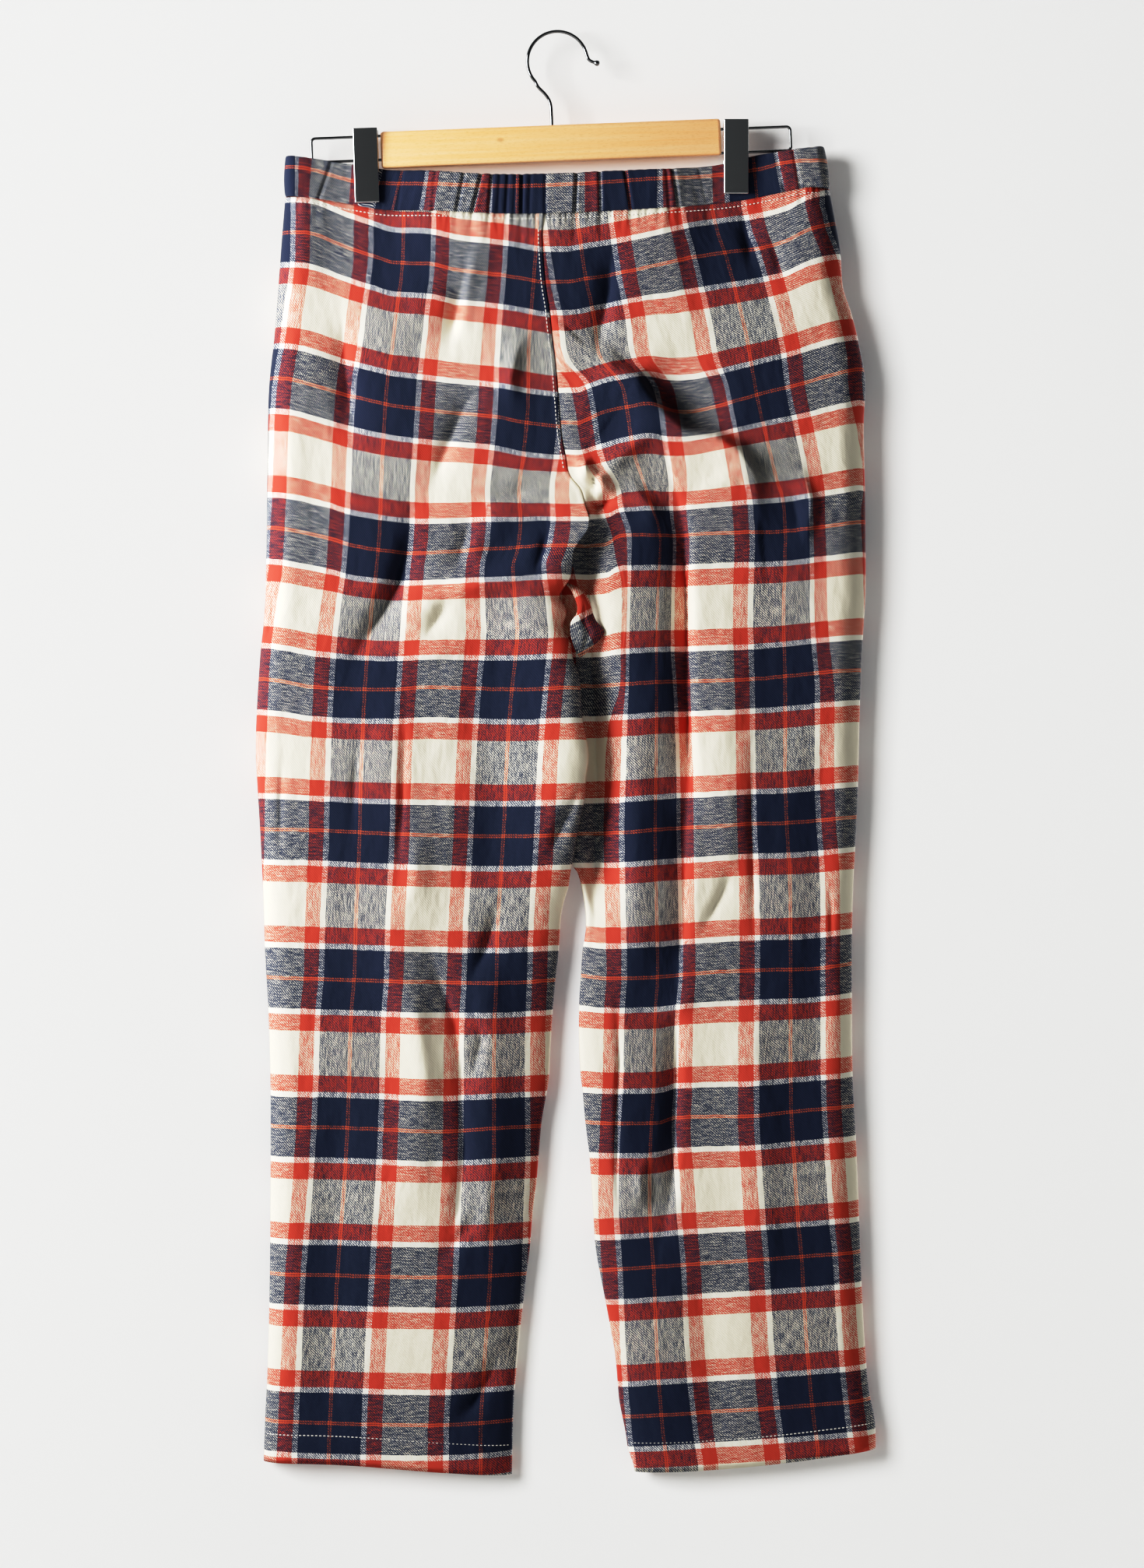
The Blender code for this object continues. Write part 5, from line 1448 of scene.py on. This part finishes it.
def studio():
    """White wall and floor. A soft light low on the left rakes the cloth and another, farther off, lights the
    wall. The plated parts mirror a room that is dark overhead and dimmer behind the viewer and on the right."""
    planes = [staged_plane(name, *row) for name, row in PLANES.items()]
    planes[0].visible_shadow = False
    for name, (place, power, size, state) in LIGHTS.items():
        lamp = soft_light(name, place, power, size)
        if state is not None:
            share_light(lamp, f"planes {state.lower()}d", planes, state)
    room = bpy.data.worlds.new("studio")
    bpy.context.scene.world = room
    add = nodes_of(room)
    towards = add("ShaderNodeSeparateXYZ", Vector=add("ShaderNodeTexCoord").outputs["Generated"])
    share = 1.0
    for axis, dimmest, full, least in ROOM:
        part = add(
            "ShaderNodeMapRange", Value=towards.outputs[axis], From_Min=dimmest, From_Max=full, To_Min=least
        ).outputs[0]
        share = add("ShaderNodeMath", {"operation": "MULTIPLY"}, _0=part, _1=share).outputs[0]
    dark, pale = linear("#787A7A"), linear("#BFC1C4")
    light = add("ShaderNodeMix", {"data_type": "RGBA"}, _0=share, _6=dark, _7=pale).outputs[2]
    back = add("ShaderNodeBackground", Color=light, Strength=ROOM_LIGHT).outputs[0]
    add("ShaderNodeOutputWorld", Surface=back)


def staged_plane(name, size, place, turn, colour, glow):
    """A painted plane that is on the stage alone."""
    bm = bmesh.new()
    bmesh.ops.create_grid(bm, x_segments=1, y_segments=1, size=0.5)
    bmesh.ops.scale(bm, verts=bm.verts, vec=(*size, 1.0))
    plane = new_object(name, as_mesh(bm, name))
    plane.location = place
    plane.rotation_euler = turn
    plane.data.materials.append(painted_wall(f"matt paint on the {name}", colour, glow))
    return plane


def soft_light(name, place, power, size):
    """A rectangular softbox that faces the middle of the trousers."""
    lamp = bpy.data.lights.new(name, "AREA")
    lamp.shape = "RECTANGLE"
    lamp.size, lamp.size_y = size
    lamp.energy = power
    made = new_object(name, lamp)
    made.location = place
    made.rotation_euler = (Vector(AIM) - Vector(place)).to_track_quat("-Z", "Y").to_euler()
    return made


def share_light(lamp, name, staged, state):
    """Keeps a light for the staged planes, or away from them."""
    group = bpy.data.collections.new(name)
    for plane in staged:
        group.objects.link(plane)
    for entry in group.collection_objects:
        entry.light_linking.link_state = state
    lamp.light_linking.receiver_collection = group


def camera():
    """Straight in front of the trousers, 4 m away, and the tone curve of the render."""
    lens = bpy.data.cameras.new("camera")
    lens.lens = lens.sensor_width * CAMERA_REACH / FRAME_HEIGHT
    eye = new_object("camera", lens)
    eye.location = Vector((FRAME_CENTRE[0], -CAMERA_REACH, FRAME_CENTRE[1])) * MM
    eye.rotation_euler = (math.pi / 2, 0.0, 0.0)
    bpy.context.scene.camera = eye
    view = bpy.context.scene.view_settings
    view.view_transform = "Standard"
    view.use_curve_mapping = True
    view.curve_mapping.white_level = (LIGHT_HELD,) * 3
    curve = view.curve_mapping.curves[3]
    curve.points[0].location, curve.points[1].location = TONES[0], TONES[-1]
    for light, tone in TONES[1:-1]:
        curve.points.new(light, tone)
    view.curve_mapping.update()


def dress():
    """Every piece of the model, with its material."""
    cloth = flannel("brushed cotton flannel, yarn-dyed twill")
    band = waistband(cloth)
    legs = {(side, face): leg(side, face, cloth) for side in SIDES for face in (BACK, FRONT)}
    tuck = crotch_tuck(cloth)
    leg_stitches(sewing_thread("white cotton sewing thread"))

    hanger_bar(beech("beech, clear satin lacquer"))
    # The wire's copy of the nickel plate is darker than the sheet's: painted shade for the dark room mirrored on
    # the hook.
    wire = bright_plate("drawn steel wire, nickel plate darkened as painted shade", "#7C7E80", WIRE_SCRATCH, 0.08)
    sheet = bright_plate("pressed steel sheet, bright nickel plate", "#D0D2D2", SHEET_SCRATCH, 0.06)
    hanger_hook(wire)
    for name, side in SIDES.items():
        wire_loop(name, side, wire)
        for face in (BACK, FRONT):
            clip_leaf(name, side, face, sheet)
        # the clip's block keeps its mesh and takes the leaves' finish
        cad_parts[f"clip_{name}_block"].material_slots[0].material = sheet


dress()
studio()
camera()
